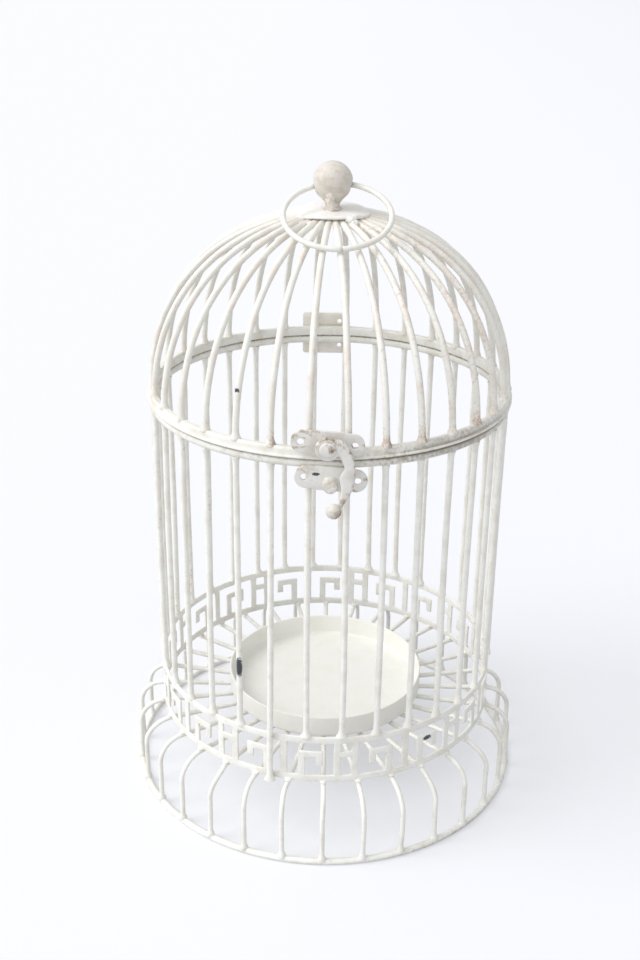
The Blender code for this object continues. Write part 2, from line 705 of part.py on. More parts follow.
def hinge_holes(name):
    """Makes the cylinders for the two screw holes of a leaf."""
    mesh_builder = bmesh.new()
    outline = cylinder_outline(HINGE_HOLE_RADIUS, -KNUCKLE_RADIUS - OVERRUN, KNUCKLE_RADIUS)
    turn_outline(mesh_builder, outline, HOLE_STEPS, closed=False)
    middle = (HINGE_LEAF_HEIGHT + KNUCKLE_RADIUS) / 2
    turned = Matrix.Rotation(math.pi / 2, 4, "Y")
    bmesh.ops.transform(mesh_builder, matrix=turned, verts=mesh_builder.verts)
    first = (0.0, middle, -HINGE_HOLE_SPACING / 2)
    bmesh.ops.translate(mesh_builder, verts=mesh_builder.verts, vec=first)
    whole = mesh_builder.verts[:] + mesh_builder.edges[:] + mesh_builder.faces[:]
    copy = bmesh.ops.duplicate(mesh_builder, geom=whole)
    moved = [item for item in copy["geom"] if isinstance(item, bmesh.types.BMVert)]
    bmesh.ops.translate(mesh_builder, verts=moved, vec=(0.0, 0.0, HINGE_HOLE_SPACING))
    return add_tool(name, finish_mesh(name, mesh_builder))


def make_hinge_leaf(name, taken, upside_down, parent):
    """One leaf of the butt hinge. Its own X points out, Y along the leaf and Z along the pin."""
    mesh = extruded_mesh(name, leaf_outline(), -HINGE_WIDTH / 2, HINGE_WIDTH / 2)
    leaf = add_object(name, mesh, paint(f"{name}_paint", RUBBED_CREAM, 0.5))
    tools = [hinge_notches(f"{name}_notches", taken), hinge_holes(f"{name}_holes")]
    axes = Matrix(((0.0, 0.0, 1.0), (1.0, 0.0, 0.0), (0.0, 1.0, 0.0)))
    if upside_down:
        axes = Matrix(((0.0, 0.0, -1.0), (1.0, 0.0, 0.0), (0.0, -1.0, 0.0)))
    for item in [leaf, *tools]:
        item.rotation_euler = axes.to_euler()
        item.location = HINGE_AXIS
        if parent is not None:
            carry(item, parent)
    for tool in tools:
        combine(leaf, tool, "DIFFERENCE")


def make_hinge(lid):
    """The butt hinge: two leaves with their knuckles in turn on one pin."""
    lid_knuckles = range(1, KNUCKLE_COUNT, 2)
    body_knuckles = range(0, KNUCKLE_COUNT, 2)
    make_hinge_leaf("hinge_upper_leaf", body_knuckles, False, lid)
    make_hinge_leaf("hinge_lower_leaf", lid_knuckles, True, None)
    pin_radius = KNUCKLE_RADIUS - HINGE_SHEET - CLEARANCE
    end = HINGE_WIDTH / 2 + CLEARANCE
    head = [
        (pin_radius, end),
        (PIN_HEAD_RADIUS, end),
        (PIN_HEAD_RADIUS, end + PIN_HEAD_LENGTH / 2),
        (0.0, end + PIN_HEAD_LENGTH),
    ]
    outline = [(radius, -height) for radius, height in reversed(head)] + head
    mesh = turned_mesh("hinge_pin", outline, HOLE_STEPS)
    pin = add_object("hinge_pin", mesh, paint("pin_paint", RUBBED_CREAM, 0.5, 0.3))
    pin.rotation_euler.y = math.pi / 2
    pin.location = HINGE_AXIS


def face_front(item, place, parent=None, tilt=0.0):
    """Turns a piece so that its Z points to the front, lowers its right end and puts it in place."""
    item.rotation_euler = (math.pi / 2, tilt, 0.0)
    item.location = place
    if parent is not None:
        carry(item, parent)


def plate_outline():
    """Gives the outline of a clasp plate: rounded ends and a slightly taller middle."""
    half_length, half_middle = PLATE_LENGTH / 2 - PLATE_END_RADIUS, PLATE_MIDDLE_WIDTH / 2
    half_height = PLATE_MIDDLE_HEIGHT / 2
    outline = arc((half_length, 0.0), PLATE_END_RADIUS, -90, 90, ARC_STEPS)
    outline += [(half_middle, PLATE_END_RADIUS), (half_middle, half_height)]
    outline += [(-half_middle, half_height), (-half_middle, PLATE_END_RADIUS)]
    outline += arc((-half_length, 0.0), PLATE_END_RADIUS, 90, 270, ARC_STEPS)
    outline += [(-half_middle, -PLATE_END_RADIUS), (-half_middle, -half_height)]
    outline += [(half_middle, -half_height), (half_middle, -PLATE_END_RADIUS)]
    return outline


def plate_hole_mesh(name, shank_drop):
    """Makes the cylinders for the two screw holes and the rivet hole of a plate."""
    mesh_builder = bmesh.new()
    half_spacing = PLATE_HOLE_SPACING / 2
    holes = (
        (-half_spacing, 0.0, PLATE_HOLE_RADIUS),
        (0.0, -shank_drop, SHANK_RADIUS + CLEARANCE),
        (half_spacing, 0.0, PLATE_HOLE_RADIUS),
    )
    for side, rise, radius in holes:
        before = set(mesh_builder.verts)
        outline = cylinder_outline(radius, -PLATE_THICKNESS - OVERRUN, OVERRUN)
        turn_outline(mesh_builder, outline, HOLE_STEPS, closed=False)
        added = [point for point in mesh_builder.verts if point not in before]
        bmesh.ops.translate(mesh_builder, verts=added, vec=(side, rise, 0.0))
    return finish_mesh(name, mesh_builder)


def make_clasp_plate(name, place, tilt, shank_drop, parent=None):
    """One plate of the clasp, with its front face at Z = 0 of its own frame."""
    mesh = extruded_mesh(name, plate_outline(), -PLATE_THICKNESS, 0.0)
    plate = add_object(name, mesh, paint(f"{name}_paint", AGED_CREAM, 0.5))
    tool = add_tool(f"{name}_holes", plate_hole_mesh(f"{name}_holes", shank_drop))
    face_front(plate, place, parent, tilt)
    face_front(tool, place, parent, tilt)
    combine(plate, tool, "DIFFERENCE")


def shank_outline():
    """Gives the start of a rivet's outline: the tail behind its plate and the shank through it."""
    back = -PLATE_THICKNESS - CLEARANCE
    end = back - TAIL_THICKNESS
    return [(0.0, end), (TAIL_RADIUS, end), (TAIL_RADIUS, back), (SHANK_RADIUS, back)]


def make_clasp_rivet(lid):
    """The rivet that carries the hook, with a collar that holds it off the plate."""
    hook_back = HOOK_STANDOFF
    hook_front = hook_back + HOOK_THICKNESS + CLEARANCE
    outline = shank_outline() + [
        (SHANK_RADIUS, CLEARANCE),
        (COLLAR_RADIUS, CLEARANCE),
        (COLLAR_RADIUS, hook_back - CLEARANCE),
        (SHANK_RADIUS, hook_back - CLEARANCE),
        (SHANK_RADIUS, hook_front),
    ]
    for turn in np.linspace(0, math.pi / 2, HEAD_STEPS + 1):
        rise = RIVET_HEAD_HEIGHT * math.sin(turn)
        outline.append((RIVET_HEAD_RADIUS * math.cos(turn), hook_front + rise))
    mesh = turned_mesh("clasp_rivet", outline, TURNED_STEPS)
    rivet = add_object("clasp_rivet", mesh, paint("rivet_paint", AGED_CREAM, 0.5))
    face_front(rivet, UPPER_PLATE_CENTRE, lid)


def make_catch_stud():
    """The stud on the lower plate that the hook swings over."""
    end = HOOK_STANDOFF - CLEARANCE
    outline = shank_outline() + [(SHANK_RADIUS, CLEARANCE), (STUD_RADIUS, CLEARANCE)]
    outline += [(STUD_RADIUS, end - STUD_ROUNDING), (STUD_RADIUS - STUD_ROUNDING, end), (0.0, end)]
    mesh = turned_mesh("catch_stud", outline, TURNED_STEPS)
    face_front(add_object("catch_stud", mesh, paint("stud_paint", AGED_CREAM, 0.5)), STUD_CENTRE)


def hook_arm_mesh():
    """Makes the curved arm as one section carried from the eye to the knob."""
    mesh_builder = bmesh.new()
    stations = np.array(HOOK_ARM_SHARES) * HOOK_DROP
    stations[:, 1] *= -1
    directions = np.gradient(stations[:, :2], axis=0)
    directions /= np.linalg.norm(directions, axis=1)[:, None]
    rings = []
    for (x, y, width), (run, rise) in zip(stations, directions):
        ring = []
        for side_share, depth_share in ARM_SECTION_SHARES:
            side = side_share * width / 2
            depth = HOOK_STANDOFF + depth_share * HOOK_THICKNESS
            ring.append(mesh_builder.verts.new((x + rise * side, y - run * side, depth)))
        rings.append(ring)
    for low, high in zip(rings, rings[1:]):
        for side in range(len(low)):
            after = (side + 1) % len(low)
            mesh_builder.faces.new((low[side], low[after], high[after], high[side]))
    mesh_builder.faces.new(rings[0])
    mesh_builder.faces.new(rings[-1])
    return finish_mesh("hook_arm", mesh_builder)


def make_hook(lid):
    """The swing hook: an eye on the rivet, a curved arm and a finger knob."""
    inner = SHANK_RADIUS + CLEARANCE
    low, high = HOOK_STANDOFF, HOOK_STANDOFF + HOOK_THICKNESS
    edge = HOOK_THICKNESS / 4
    outline = [(inner, low), (HOOK_EYE_RADIUS, low), (HOOK_EYE_RADIUS, high - edge)]
    outline += [(HOOK_EYE_RADIUS - edge, high), (inner, high)]
    mesh = turned_mesh("clasp_hook", outline, BALL_STEPS, closed=True)
    hook = add_object("clasp_hook", mesh, paint("hook_paint", AGED_CREAM, 0.5))
    arm = add_tool("hook_arm", hook_arm_mesh())
    mesh_builder = bmesh.new()
    bmesh.ops.create_uvsphere(
        mesh_builder, u_segments=TURNED_STEPS, v_segments=ARC_STEPS, radius=KNOB_RADIUS
    )
    flattened = (1.0, 1.0, KNOB_HALF_DEPTH / KNOB_RADIUS)
    bmesh.ops.scale(mesh_builder, verts=mesh_builder.verts, vec=flattened)
    place = (KNOB_SIDE_SHARE * HOOK_DROP, -HOOK_DROP, HOOK_STANDOFF + KNOB_HALF_DEPTH)
    bmesh.ops.translate(mesh_builder, verts=mesh_builder.verts, vec=place)
    knob = add_tool("hook_knob", finish_mesh("hook_knob", mesh_builder))
    for item in (hook, arm, knob):
        face_front(item, UPPER_PLATE_CENTRE, lid)
    combine(hook, arm, "UNION")
    combine(hook, knob, "UNION")


def make_clasp(lid):
    """The clasp at the front of the cage."""
    make_clasp_plate("clasp_upper_plate", UPPER_PLATE_CENTRE, UPPER_PLATE_TILT, 0.0, lid)
    make_clasp_plate("clasp_lower_plate", LOWER_PLATE_CENTRE, LOWER_PLATE_TILT, STUD_DROP)
    make_clasp_rivet(lid)
    make_catch_stud()
    make_hook(lid)


def main():
    """Builds the cage from the ground up."""
    clear_scene()
    lid = bpy.data.objects.new("lid_hinge_axis", None)
    lid.location = HINGE_AXIS
    bpy.context.scene.collection.objects.link(lid)
    make_skirt_frame()
    make_band()
    make_tray()
    make_body_bars()
    make_body_ring()
    make_lid_ring(lid)
    make_dome_ribs(lid)
    make_cap(lid)
    make_finial(lid)
    make_handle(lid)
    make_hinge(lid)
    make_clasp(lid)
    print("handle rest tilt in degrees:", round(math.degrees(handle_rest_tilt()), 3))


main()
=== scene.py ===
"""Looks of a small painted wire bird cage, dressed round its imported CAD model.

Every visible piece is a surface worked out here: wires are rings carried along a path,
rings and turned parts are profiles carried round an axis, and the band is the key
pattern laid on a cylinder. Lengths are in metres, written as millimetres times MM.
The front of the cage faces -Y. Angles round it start there and grow towards +X.
"""

import logging
import math
from dataclasses import dataclass, field
from enum import Enum
from functools import cache

import bpy
import numpy as np
from mathutils import Matrix, Vector


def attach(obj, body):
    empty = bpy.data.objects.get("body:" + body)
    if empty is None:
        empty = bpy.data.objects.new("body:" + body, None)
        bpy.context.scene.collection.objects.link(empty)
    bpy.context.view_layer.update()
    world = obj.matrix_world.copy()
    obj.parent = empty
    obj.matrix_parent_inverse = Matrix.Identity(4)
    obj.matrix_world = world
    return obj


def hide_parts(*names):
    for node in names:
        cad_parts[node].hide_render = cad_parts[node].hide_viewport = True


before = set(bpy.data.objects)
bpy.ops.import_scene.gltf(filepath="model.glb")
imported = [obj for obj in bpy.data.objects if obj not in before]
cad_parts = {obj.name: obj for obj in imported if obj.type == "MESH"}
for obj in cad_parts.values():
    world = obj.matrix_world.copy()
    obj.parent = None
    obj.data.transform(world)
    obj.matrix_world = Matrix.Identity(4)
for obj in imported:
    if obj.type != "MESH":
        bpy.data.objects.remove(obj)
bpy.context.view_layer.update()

MM = 0.001
TURN = math.tau
WIRE_SIDES = 14

# A number, or an array that spreads over the points of a surface
Values = np.ndarray | float
Triple = tuple[float, float, float]
# A rubbed spot: its x, z and radius in millimetres, and its wear
Rub = tuple[float, float, float, float]
# A blob of weld: its middle and half sizes in millimetres, and what makes it unlike the next
Blob = tuple[Triple, Triple, float]

log = logging.getLogger("bird cage")


class Body(Enum):
    """The CAD bodies that pieces ride on."""

    BASE = "base"
    LID = "lid"
    HOOK = "hook"
    HANDLE = "handle"


class Slot(Enum):
    """The record's material slots."""

    BARS = "bars"
    RINGS = "rings"
    BAND = "band"
    SKIRT = "skirt"
    DISH = "dish"
    RIBS = "ribs"
    CAP = "cap"
    FINIAL = "finial"
    FITTINGS = "fittings"
    HANDLE = "handle"


# ---- surfaces as arrays


@dataclass
class Surface:
    """A mesh held as arrays.

    wear is how far the paint is rubbed at each point and grime how dirty it is, from 0 to 1.
    In seams, hollows and on shaded sides the grime is painted shade as well as dirt.
    """

    points: np.ndarray
    quads: np.ndarray
    triangles: np.ndarray
    wear: np.ndarray
    grime_and_shade: np.ndarray

    def joined(self, *others: "Surface") -> "Surface":
        """Puts this surface and others into one, without merging their points.

        Args:
            others: the surfaces that follow this one.

        Returns:
            The joined surface.
        """
        parts = (self, *others)
        starts = np.cumsum([0] + [len(part.points) for part in parts])
        return Surface(
            np.concatenate([part.points for part in parts]),
            np.concatenate([part.quads + start for part, start in zip(parts, starts)]),
            np.concatenate([part.triangles + start for part, start in zip(parts, starts)]),
            np.concatenate([part.wear for part in parts]),
            np.concatenate([part.grime_and_shade for part in parts]),
        )

    def outward(self) -> "Surface":
        """Turns all faces over if the signed volume under them is negative.

        The volume is the sum over triangles of corner one dotted with the cross product
        of corners two and three, over six.

        Returns:
            This surface, with its faces outwards.
        """
        first, second = self.quads[:, [0, 1, 2]], self.quads[:, [0, 2, 3]]
        halves = np.concatenate((first, second, self.triangles))
        one, two, three = (self.points[halves[:, corner]] for corner in range(3))
        if np.einsum("ij,ij->", one, np.cross(two, three)) < 0:
            self.quads = self.quads[:, ::-1]
            self.triangles = self.triangles[:, ::-1]
        return self

    def placed(self, matrix: Matrix) -> "Surface":
        """Moves the points by a matrix.

        Args:
            matrix: where the surface's own origin and axes go.

        Returns:
            This surface.
        """
        rows = np.array(matrix)
        self.points = self.points @ rows[:3, :3].T + rows[:3, 3]
        return self

    def mesh(self, name: str) -> bpy.types.Mesh:
        """Makes a Blender mesh with the wear and grime as attributes; the grime is dirt and painted
        shade.

        Args:
            name: the mesh's name.

        Returns:
            The mesh.
        """
        mesh = bpy.data.meshes.new(name)
        mesh.from_pydata(self.points.tolist(), [], self.quads.tolist() + self.triangles.tolist())
        write_attribute(mesh, "wear", self.wear)
        write_attribute(mesh, "grime_and_shade", self.grime_and_shade)
        return mesh


def write_attribute(mesh: bpy.types.Mesh, name: str, values: np.ndarray) -> None:
    """Writes one number per point into a named attribute of a mesh.

    Args:
        mesh: the mesh that gets it.
        name: the attribute's name.
        values: one number for each point.
    """
    attribute = mesh.attributes.get(name) or mesh.attributes.new(name, "FLOAT", "POINT")
    attribute.data.foreach_set("value", np.ascontiguousarray(values, dtype=np.float32))


def angles_round(count: int) -> np.ndarray:
    """Gives evenly spaced angles once round, from zero."""
    return np.arange(count) * TURN / count


def wrapped(angles: np.ndarray) -> np.ndarray:
    """Brings angles to between minus half a turn and half a turn."""
    return (angles + math.pi) % TURN - math.pi


def signed_power(values: np.ndarray, power: float) -> np.ndarray:
    """Raises numbers to a power and keeps their signs."""
    return np.sign(values) * np.abs(values) ** power


def length_along(line: np.ndarray) -> np.ndarray:
    """Gives how far along a line each of its points lies: the sum of the steps up to it."""
    return np.concatenate(([0.0], np.cumsum(np.linalg.norm(np.diff(line, axis=0), axis=1))))


def lattice(
    points: np.ndarray, wear: Values = 0.0, grime_and_shade: Values = 0.0, looped: bool = False
) -> Surface:
    """Joins grids of points into faces whose columns close into rings.

    Args:
        points: an array of copies by rows by columns by three.
        wear: a number, or an array that spreads over copies, rows and columns.
        grime_and_shade: the same.
        looped: whether the rows close too, as on a ring. If not, each copy's first and
            last row close onto a pole in the row's middle.

    Returns:
        The surface, with its faces outwards.
    """
    copies, rows, columns = points.shape[:3]
    index = np.arange(copies * rows * columns).reshape(copies, rows, columns)
    after = np.roll(index, -1, axis=2)
    above, above_after = (np.roll(corner, -1, axis=1) for corner in (index, after))
    last = rows if looped else rows - 1
    corners = [corner[:, :last] for corner in (index, after, above_after, above)]
    quads = np.stack(corners, axis=-1).reshape(-1, 4)
    flat = points.reshape(-1, 3)
    wear, grime_and_shade = (np.broadcast_to(values, points.shape[:3]) for values in (wear, grime_and_shade))
    if looped:
        triangles = np.empty((0, 3), dtype=int)
        return Surface(flat, quads, triangles, wear.reshape(-1), grime_and_shade.reshape(-1)).outward()
    poles = np.concatenate((points[:, 0].mean(axis=1), points[:, -1].mean(axis=1)))
    first = np.broadcast_to(len(flat) + np.arange(copies)[:, None], (copies, columns))
    low = np.stack((first, after[:, 0], index[:, 0]), axis=-1).reshape(-1, 3)
    high = np.stack((first + copies, index[:, -1], after[:, -1]), axis=-1).reshape(-1, 3)
    return Surface(
        np.concatenate((flat, poles)),
        quads,
        np.concatenate((low, high)),
        np.concatenate((wear.reshape(-1), wear[:, 0, 0], wear[:, -1, 0])),
        np.concatenate((grime_and_shade.reshape(-1), grime_and_shade[:, 0, 0], grime_and_shade[:, -1, 0])),
    ).outward()


def unit(vectors: np.ndarray) -> np.ndarray:
    """Scales vectors along the last axis to length one."""
    return vectors / np.linalg.norm(vectors, axis=-1, keepdims=True)


def wires(
    paths: np.ndarray,
    radii: np.ndarray,
    across: np.ndarray,
    sides: int = WIRE_SIDES,
    spread: Values = 1.0,
    wear: Values = 0.0,
    grime_and_shade: Values = 0.0,
) -> Surface:
    """Carries a ring along each path.

    With t the unit gradient of the path, s the across vector made square to t and n the
    cross product of s and t, a point is the path plus radius times (n cos a + spread s sin a).

    Args:
        paths: copies by rows by three.
        radii: an array that spreads over copies and rows.
        across: a vector per copy that points sideways from the path.
        sides: how many points a ring has.
        spread: how much wider than thick the ring is, over copies and rows.
        wear: over copies, rows and sides.
        grime_and_shade: over copies, rows and sides.

    Returns:
        The closed wires as one surface.
    """
    along = unit(np.gradient(paths, axis=1))
    sideways = across[:, None, :]
    side = unit(sideways - along * np.sum(sideways * along, axis=-1, keepdims=True))
    normal = np.cross(side, along)
    angles = angles_round(sides)
    wide = (np.broadcast_to(spread, paths.shape[:2])[:, :, None] * np.sin(angles))[..., None]
    ring = normal[:, :, None, :] * np.cos(angles)[None, None, :, None] + side[:, :, None, :] * wide
    reach = np.broadcast_to(radii, paths.shape[:2])[:, :, None, None]
    return lattice(paths[:, :, None, :] + ring * reach, wear, grime_and_shade)


def turned(
    profile: np.ndarray,
    steps: int,
    looped: bool = False,
    wear: Values = 0.0,
    grime_and_shade: Values = 0.0,
) -> Surface:
    """Carries a profile of radius and height round Z: x = r sin a, y = -r cos a, z = height.

    Args:
        profile: points by two, with radius and height. It may also be points by steps by two.
        steps: how many times the profile stands round the axis.
        looped: whether the profile is closed, as on a ring.
        wear: per profile point, or over points and steps.
        grime_and_shade: the same.

    Returns:
        The turned surface.
    """
    angles = angles_round(steps)
    spread = profile if profile.ndim == 3 else np.repeat(profile[:, None, :], steps, axis=1)
    radius, height = spread[..., 0], spread[..., 1]
    points = np.stack((radius * np.sin(angles), -radius * np.cos(angles), height), axis=-1)
    wear, grime_and_shade = (
        values[:, None] if np.ndim(values) == 1 else values for values in (wear, grime_and_shade)
    )
    return lattice(points[None], wear, grime_and_shade, looped)


def arc(
    centre: tuple[float, float], radius: float, start: float, end: float, count: int
) -> np.ndarray:
    """Gives points on a circle between two angles in degrees: centre + radius (cos a, sin a)."""
    angles = np.radians(np.linspace(start, end, count))
    return np.stack((np.cos(angles), np.sin(angles)), axis=-1) * radius + centre


def smooth_line(points: np.ndarray, count: int) -> np.ndarray:
    """Runs a smooth curve through points of any width.

    Between two points it is the Catmull-Rom cubic: the points' half differences are the slopes.

    Args:
        points: rows of numbers.
        count: how many rows to return.

    Returns:
        Rows of numbers along the curve.
    """
    padded = np.concatenate((2 * points[:1] - points[1:2], points, 2 * points[-1:] - points[-2:-1]))
    place = np.linspace(0, len(points) - 1, count)
    start = np.minimum(place.astype(int), len(points) - 2)
    share = (place - start)[:, None]
    one, two, three, four = (padded[start + step] for step in range(4))
    return 0.5 * (
        2 * two
        + (three - one) * share
        + (2 * one - 5 * two + 4 * three - four) * share**2
        + (3 * two - one - 3 * three + four) * share**3
    )


def swell(place: np.ndarray, centre: Values, width: float) -> np.ndarray:
    """Gives a bell of height one round a place: exp of minus the squared distance in widths."""
    return np.exp(-(((place - centre) / width) ** 2))


@dataclass(frozen=True)
class Bell:
    """A soft patch of wear or grime, by its strength in the middle and its width."""

    strength: float
    width: float

    def at(self, place: np.ndarray, centre: Values) -> np.ndarray:
        """Gives the patch round a centre: the strength times a bell of the distance."""
        return self.strength * swell(place, centre, self.width)


def outward_at(angles: np.ndarray) -> np.ndarray:
    """Gives unit vectors that point away from the cage's axis: (sin a, -cos a, 0)."""
    return np.stack((np.sin(angles), -np.cos(angles), np.zeros_like(angles)), axis=-1)


def around_at(angles: np.ndarray) -> np.ndarray:
    """Gives unit vectors that point round the cage, in growing angle: (cos a, sin a, 0)."""
    return np.stack((np.cos(angles), np.sin(angles), np.zeros_like(angles)), axis=-1)


# At the front the extra falls on the wires' right, shaded side: wear, and partly painted shade
def sided_wear_and_shade(plain: float, more: float) -> np.ndarray:
    """Gives factors round a wire: plain, and more times the sine on the side of growing angles."""
    return plain + more * np.clip(np.sin(angles_round(WIRE_SIDES)), 0, 1)


def upright_paths(
    profile: np.ndarray, angles: np.ndarray, sway: Values = 0.0
) -> np.ndarray:
    """Stands one path of radius and height at many angles round the cage.

    Args:
        profile: rows of radius and height, or copies by rows by two.
        angles: one per copy.
        sway: how far each row stands out sideways, over copies and rows.

    Returns:
        copies by rows by three.
    """
    spread = profile if profile.ndim == 3 else profile[None]
    sideways = np.broadcast_to(sway, (len(angles), spread.shape[1]))[..., None]
    return (
        outward_at(angles)[:, None, :] * spread[..., :1]
        + around_at(angles)[:, None, :] * sideways
        + spread[..., 1:] * np.array([0.0, 0.0, 1.0])
    )


# ---- paint


def linear(code: str) -> tuple[float, float, float, float]:
    """Turns an sRGB hex colour into linear red, green, blue and alpha."""
    shares = [int(code[start : start + 2], 16) / 255 for start in (1, 3, 5)]
    return (*(c / 12.92 if c <= 0.04045 else ((c + 0.055) / 1.055) ** 2.4 for c in shares), 1.0)


def empty_tree(owner: bpy.types.Material | bpy.types.World) -> bpy.types.NodeTree:
    """Gives the node tree of a material or a world, emptied.

    Args:
        owner: the material or the world.

    Returns:
        The node tree.
    """
    owner.use_nodes = True
    owner.node_tree.nodes.clear()
    return owner.node_tree


def add_node(
    tree: bpy.types.NodeTree, kind: str, inputs: dict | None = None, **settings: object
) -> bpy.types.Node:
    """Adds a shader node.

    Args:
        tree: the material's node tree.
        kind: the node's type name without its ShaderNode start.
        inputs: values or sockets to link, by the input's name or number.
        settings: the node's own properties.

    Returns:
        The node.
    """
    node = tree.nodes.new(f"ShaderNode{kind}")
    for name, value in settings.items():
        setattr(node, name, value)
    for name, value in (inputs or {}).items():
        if isinstance(value, bpy.types.NodeSocket):
            tree.links.new(value, node.inputs[name])
        else:
            node.inputs[name].default_value = value
    return node


@dataclass(frozen=True)
class Chip:
    """A flake off the lacquer, down to the steel, by its middle and half sizes in millimetres."""

    centre: Triple
    half: Triple


@dataclass(frozen=True)
class RubbedPaint:
    """Cream lacquer sprayed over wire and rubbed back by hand.

    The lacquer is a dense, slightly yellow white with a low sheen. Where hands and sandpaper
    reach it goes thin and beige, at the edges the brown primer under it shows, and here and
    there a chip is off down to the slate-coloured steel. A grey-brown layer over it is dirt,
    and in seams, hollows and on shaded sides it is painted shade as well.
    """

    name: str
    coat: str = "#f5f4ee"
    warm: str = "#ece9df"
    thin: str = "#d0c7b8"
    primer: str = "#7d6552"
    # The grey-brown of dirt, which also paints shade in seams, hollows and on shaded sides
    dirt_and_shade: str = "#a39c8f"
    steel: str = "#3b4047"
    rubbing: float = 0.0
    roughness: float = 0.42
    rubbed_rougher: float = 0.2
    drift_mm: float = 7.0
    fleck_mm: float = 1.5
    grain_mm: float = 0.45
    lump_mm: float = 1.3
    lump_depth_mm: float = 0.06
    lump_strength: float = 0.55
    rubbed_depth: float = 0.35
    ior: float = 1.5
    chips: tuple[Chip, ...] = ()
    # The sums of wear, or of dirt and painted shade, and noise at which each layer starts
    # and is full
    warm_limits: tuple[float, float] = (0.42, 0.68)
    thin_limits: tuple[float, float] = (0.94, 1.3)
    primer_limits: tuple[float, float] = (1.14, 1.5)
    dirt_and_shade_limits: tuple[float, float] = (0.5, 1.4)
    chip_limits: tuple[float, float] = (1.9, 1.7)
    chip_raggedness: float = 1.6

    def build(self) -> bpy.types.Material:
        """Builds the paint as nodes on Object coordinates and the wear and grime attributes.

        Returns:
            The material.
        """
        material = bpy.data.materials.new(self.name)
        tree = empty_tree(material)
        place = add_node(tree, "TexCoord").outputs["Object"]
        wear, grime_and_shade = (
            add_node(tree, "Attribute", attribute_name=name).outputs["Fac"]
            for name in ("wear", "grime_and_shade")
        )
        sizes = (self.drift_mm, self.fleck_mm, self.grain_mm, self.lump_mm)
        drift, fleck, grain, lumps = (
            add_node(
                tree, "TexNoise", {"Vector": place, "Scale": 1 / (size * MM), "Detail": detail}
            ).outputs[0]
            for size, detail in zip(sizes, (2.0, 5.0, 3.0, 2.0))
        )
        rubbed = self._worn_through(tree, wear, fleck, self.thin_limits, self.rubbing)
        bare = self._worn_through(tree, wear, grain, self.primer_limits, self.rubbing)
        # The dark layer: dirt, and painted shade where the grime stands for shade
        dirtied_and_shaded = self._worn_through(tree, grime_and_shade, fleck, self.dirt_and_shade_limits)
        warmed = self._worn_through(tree, drift, 0.0, self.warm_limits)
        colour = linear(self.coat)
        layers = (
            (warmed, self.warm),
            (rubbed, self.thin),
            (bare, self.primer),
            (dirtied_and_shaded, self.dirt_and_shade),
        )
        if self.chips:
            layers += ((self._flaked(tree, place, grain), self.steel),)
        for share, over in layers:
            ends = {0: share, 6: colour, 7: linear(over)}
            colour = add_node(tree, "Mix", ends, data_type="RGBA").outputs[2]
        rougher = self.roughness + self.rubbed_rougher
        sheen = add_node(
            tree, "MapRange", {"Value": rubbed, "To Min": self.roughness, "To Max": rougher}
        )
        sunk = {0: rubbed, 1: -self.rubbed_depth, 2: lumps}
        relief = add_node(tree, "Math", sunk, operation="MULTIPLY_ADD")
        bump = add_node(
            tree,
            "Bump",
            {
                "Height": relief.outputs[0],
                "Strength": self.lump_strength,
                "Distance": self.lump_depth_mm * MM,
            },
        )
        shader = add_node(
            tree,
            "BsdfPrincipled",
            {
                "Base Color": colour,
                "Roughness": sheen.outputs[0],
                "Normal": bump.outputs[0],
                "IOR": self.ior,
                "Metallic": 0.0,
            },
        )
        add_node(tree, "OutputMaterial", {"Surface": shader.outputs[0]})
        return material

    def _worn_through(
        self,
        tree: bpy.types.NodeTree,
        amount: bpy.types.NodeSocket,
        pattern: bpy.types.NodeSocket | float,
        limits: tuple[float, float],
        ease: float = 0.0,
    ) -> bpy.types.NodeSocket:
        """Gives the spots where an amount plus a pattern passes a limit.

        The sum makes the rims of the spots follow the pattern.

        Args:
            tree: the material's node tree.
            amount: how worn or dirty the surface is.
            pattern: the noise that breaks the spot up.
            limits: the sums at which a spot starts and is full.
            ease: what is taken off both limits.

        Returns:
            The spots as shares from 0 to 1.
        """
        total = add_node(tree, "Math", {0: amount, 1: pattern}, operation="ADD").outputs[0]
        inputs = {"Value": total, "From Min": limits[0] - ease, "From Max": limits[1] - ease}
        return add_node(tree, "MapRange", inputs, interpolation_type="SMOOTHSTEP").outputs[0]

    def _flaked(
        self, tree: bpy.types.NodeTree, place: bpy.types.NodeSocket, grain: bpy.types.NodeSocket
    ) -> bpy.types.NodeSocket:
        """Gives the chips: where the length of (place - centre) / half sizes is short.

        Args:
            tree: the material's node tree.
            place: Object coordinates.
            grain: the noise that makes the rims ragged.

        Returns:
            The chips as shares from 0 to 1.
        """
        flaked: bpy.types.NodeSocket | float = 0.0
        for chip in self.chips:
            centre, half = (
                tuple(size * MM for size in sizes) for sizes in (chip.centre, chip.half)
            )
            off = add_node(tree, "VectorMath", {0: place, 1: centre}, operation="SUBTRACT")
            scaled = add_node(tree, "VectorMath", {0: off.outputs[0], 1: half}, operation="DIVIDE")
            reach = add_node(tree, "VectorMath", {0: scaled.outputs[0]}, operation="LENGTH")
            sums = {0: grain, 1: self.chip_raggedness, 2: reach.outputs["Value"]}
            ragged = add_node(tree, "Math", sums, operation="MULTIPLY_ADD").outputs[0]
            spot = self._worn_through(tree, ragged, 0.0, self.chip_limits)
            flaked = add_node(tree, "Math", {0: spot, 1: flaked}, operation="MAXIMUM").outputs[0]
        return flaked


# Bars: the clean coat, with one long chip low on a bar at the front left
BAR_PAINT = RubbedPaint(
    "cream lacquer on drawn wire", chips=(Chip((-33.0, -62.6, 78.9), (1.3, 1.7, 4.2)),)
)
# Rings: a little greyer, with beige drifts where hands lift the lid, and a grey-brown layer
# that is painted shade with some dirt in the seam and on the front right
RING_PAINT = RubbedPaint(
    "cream lacquer on ring wire", coat="#eeede6", warm="#e2ded2", rubbing=0.03
)
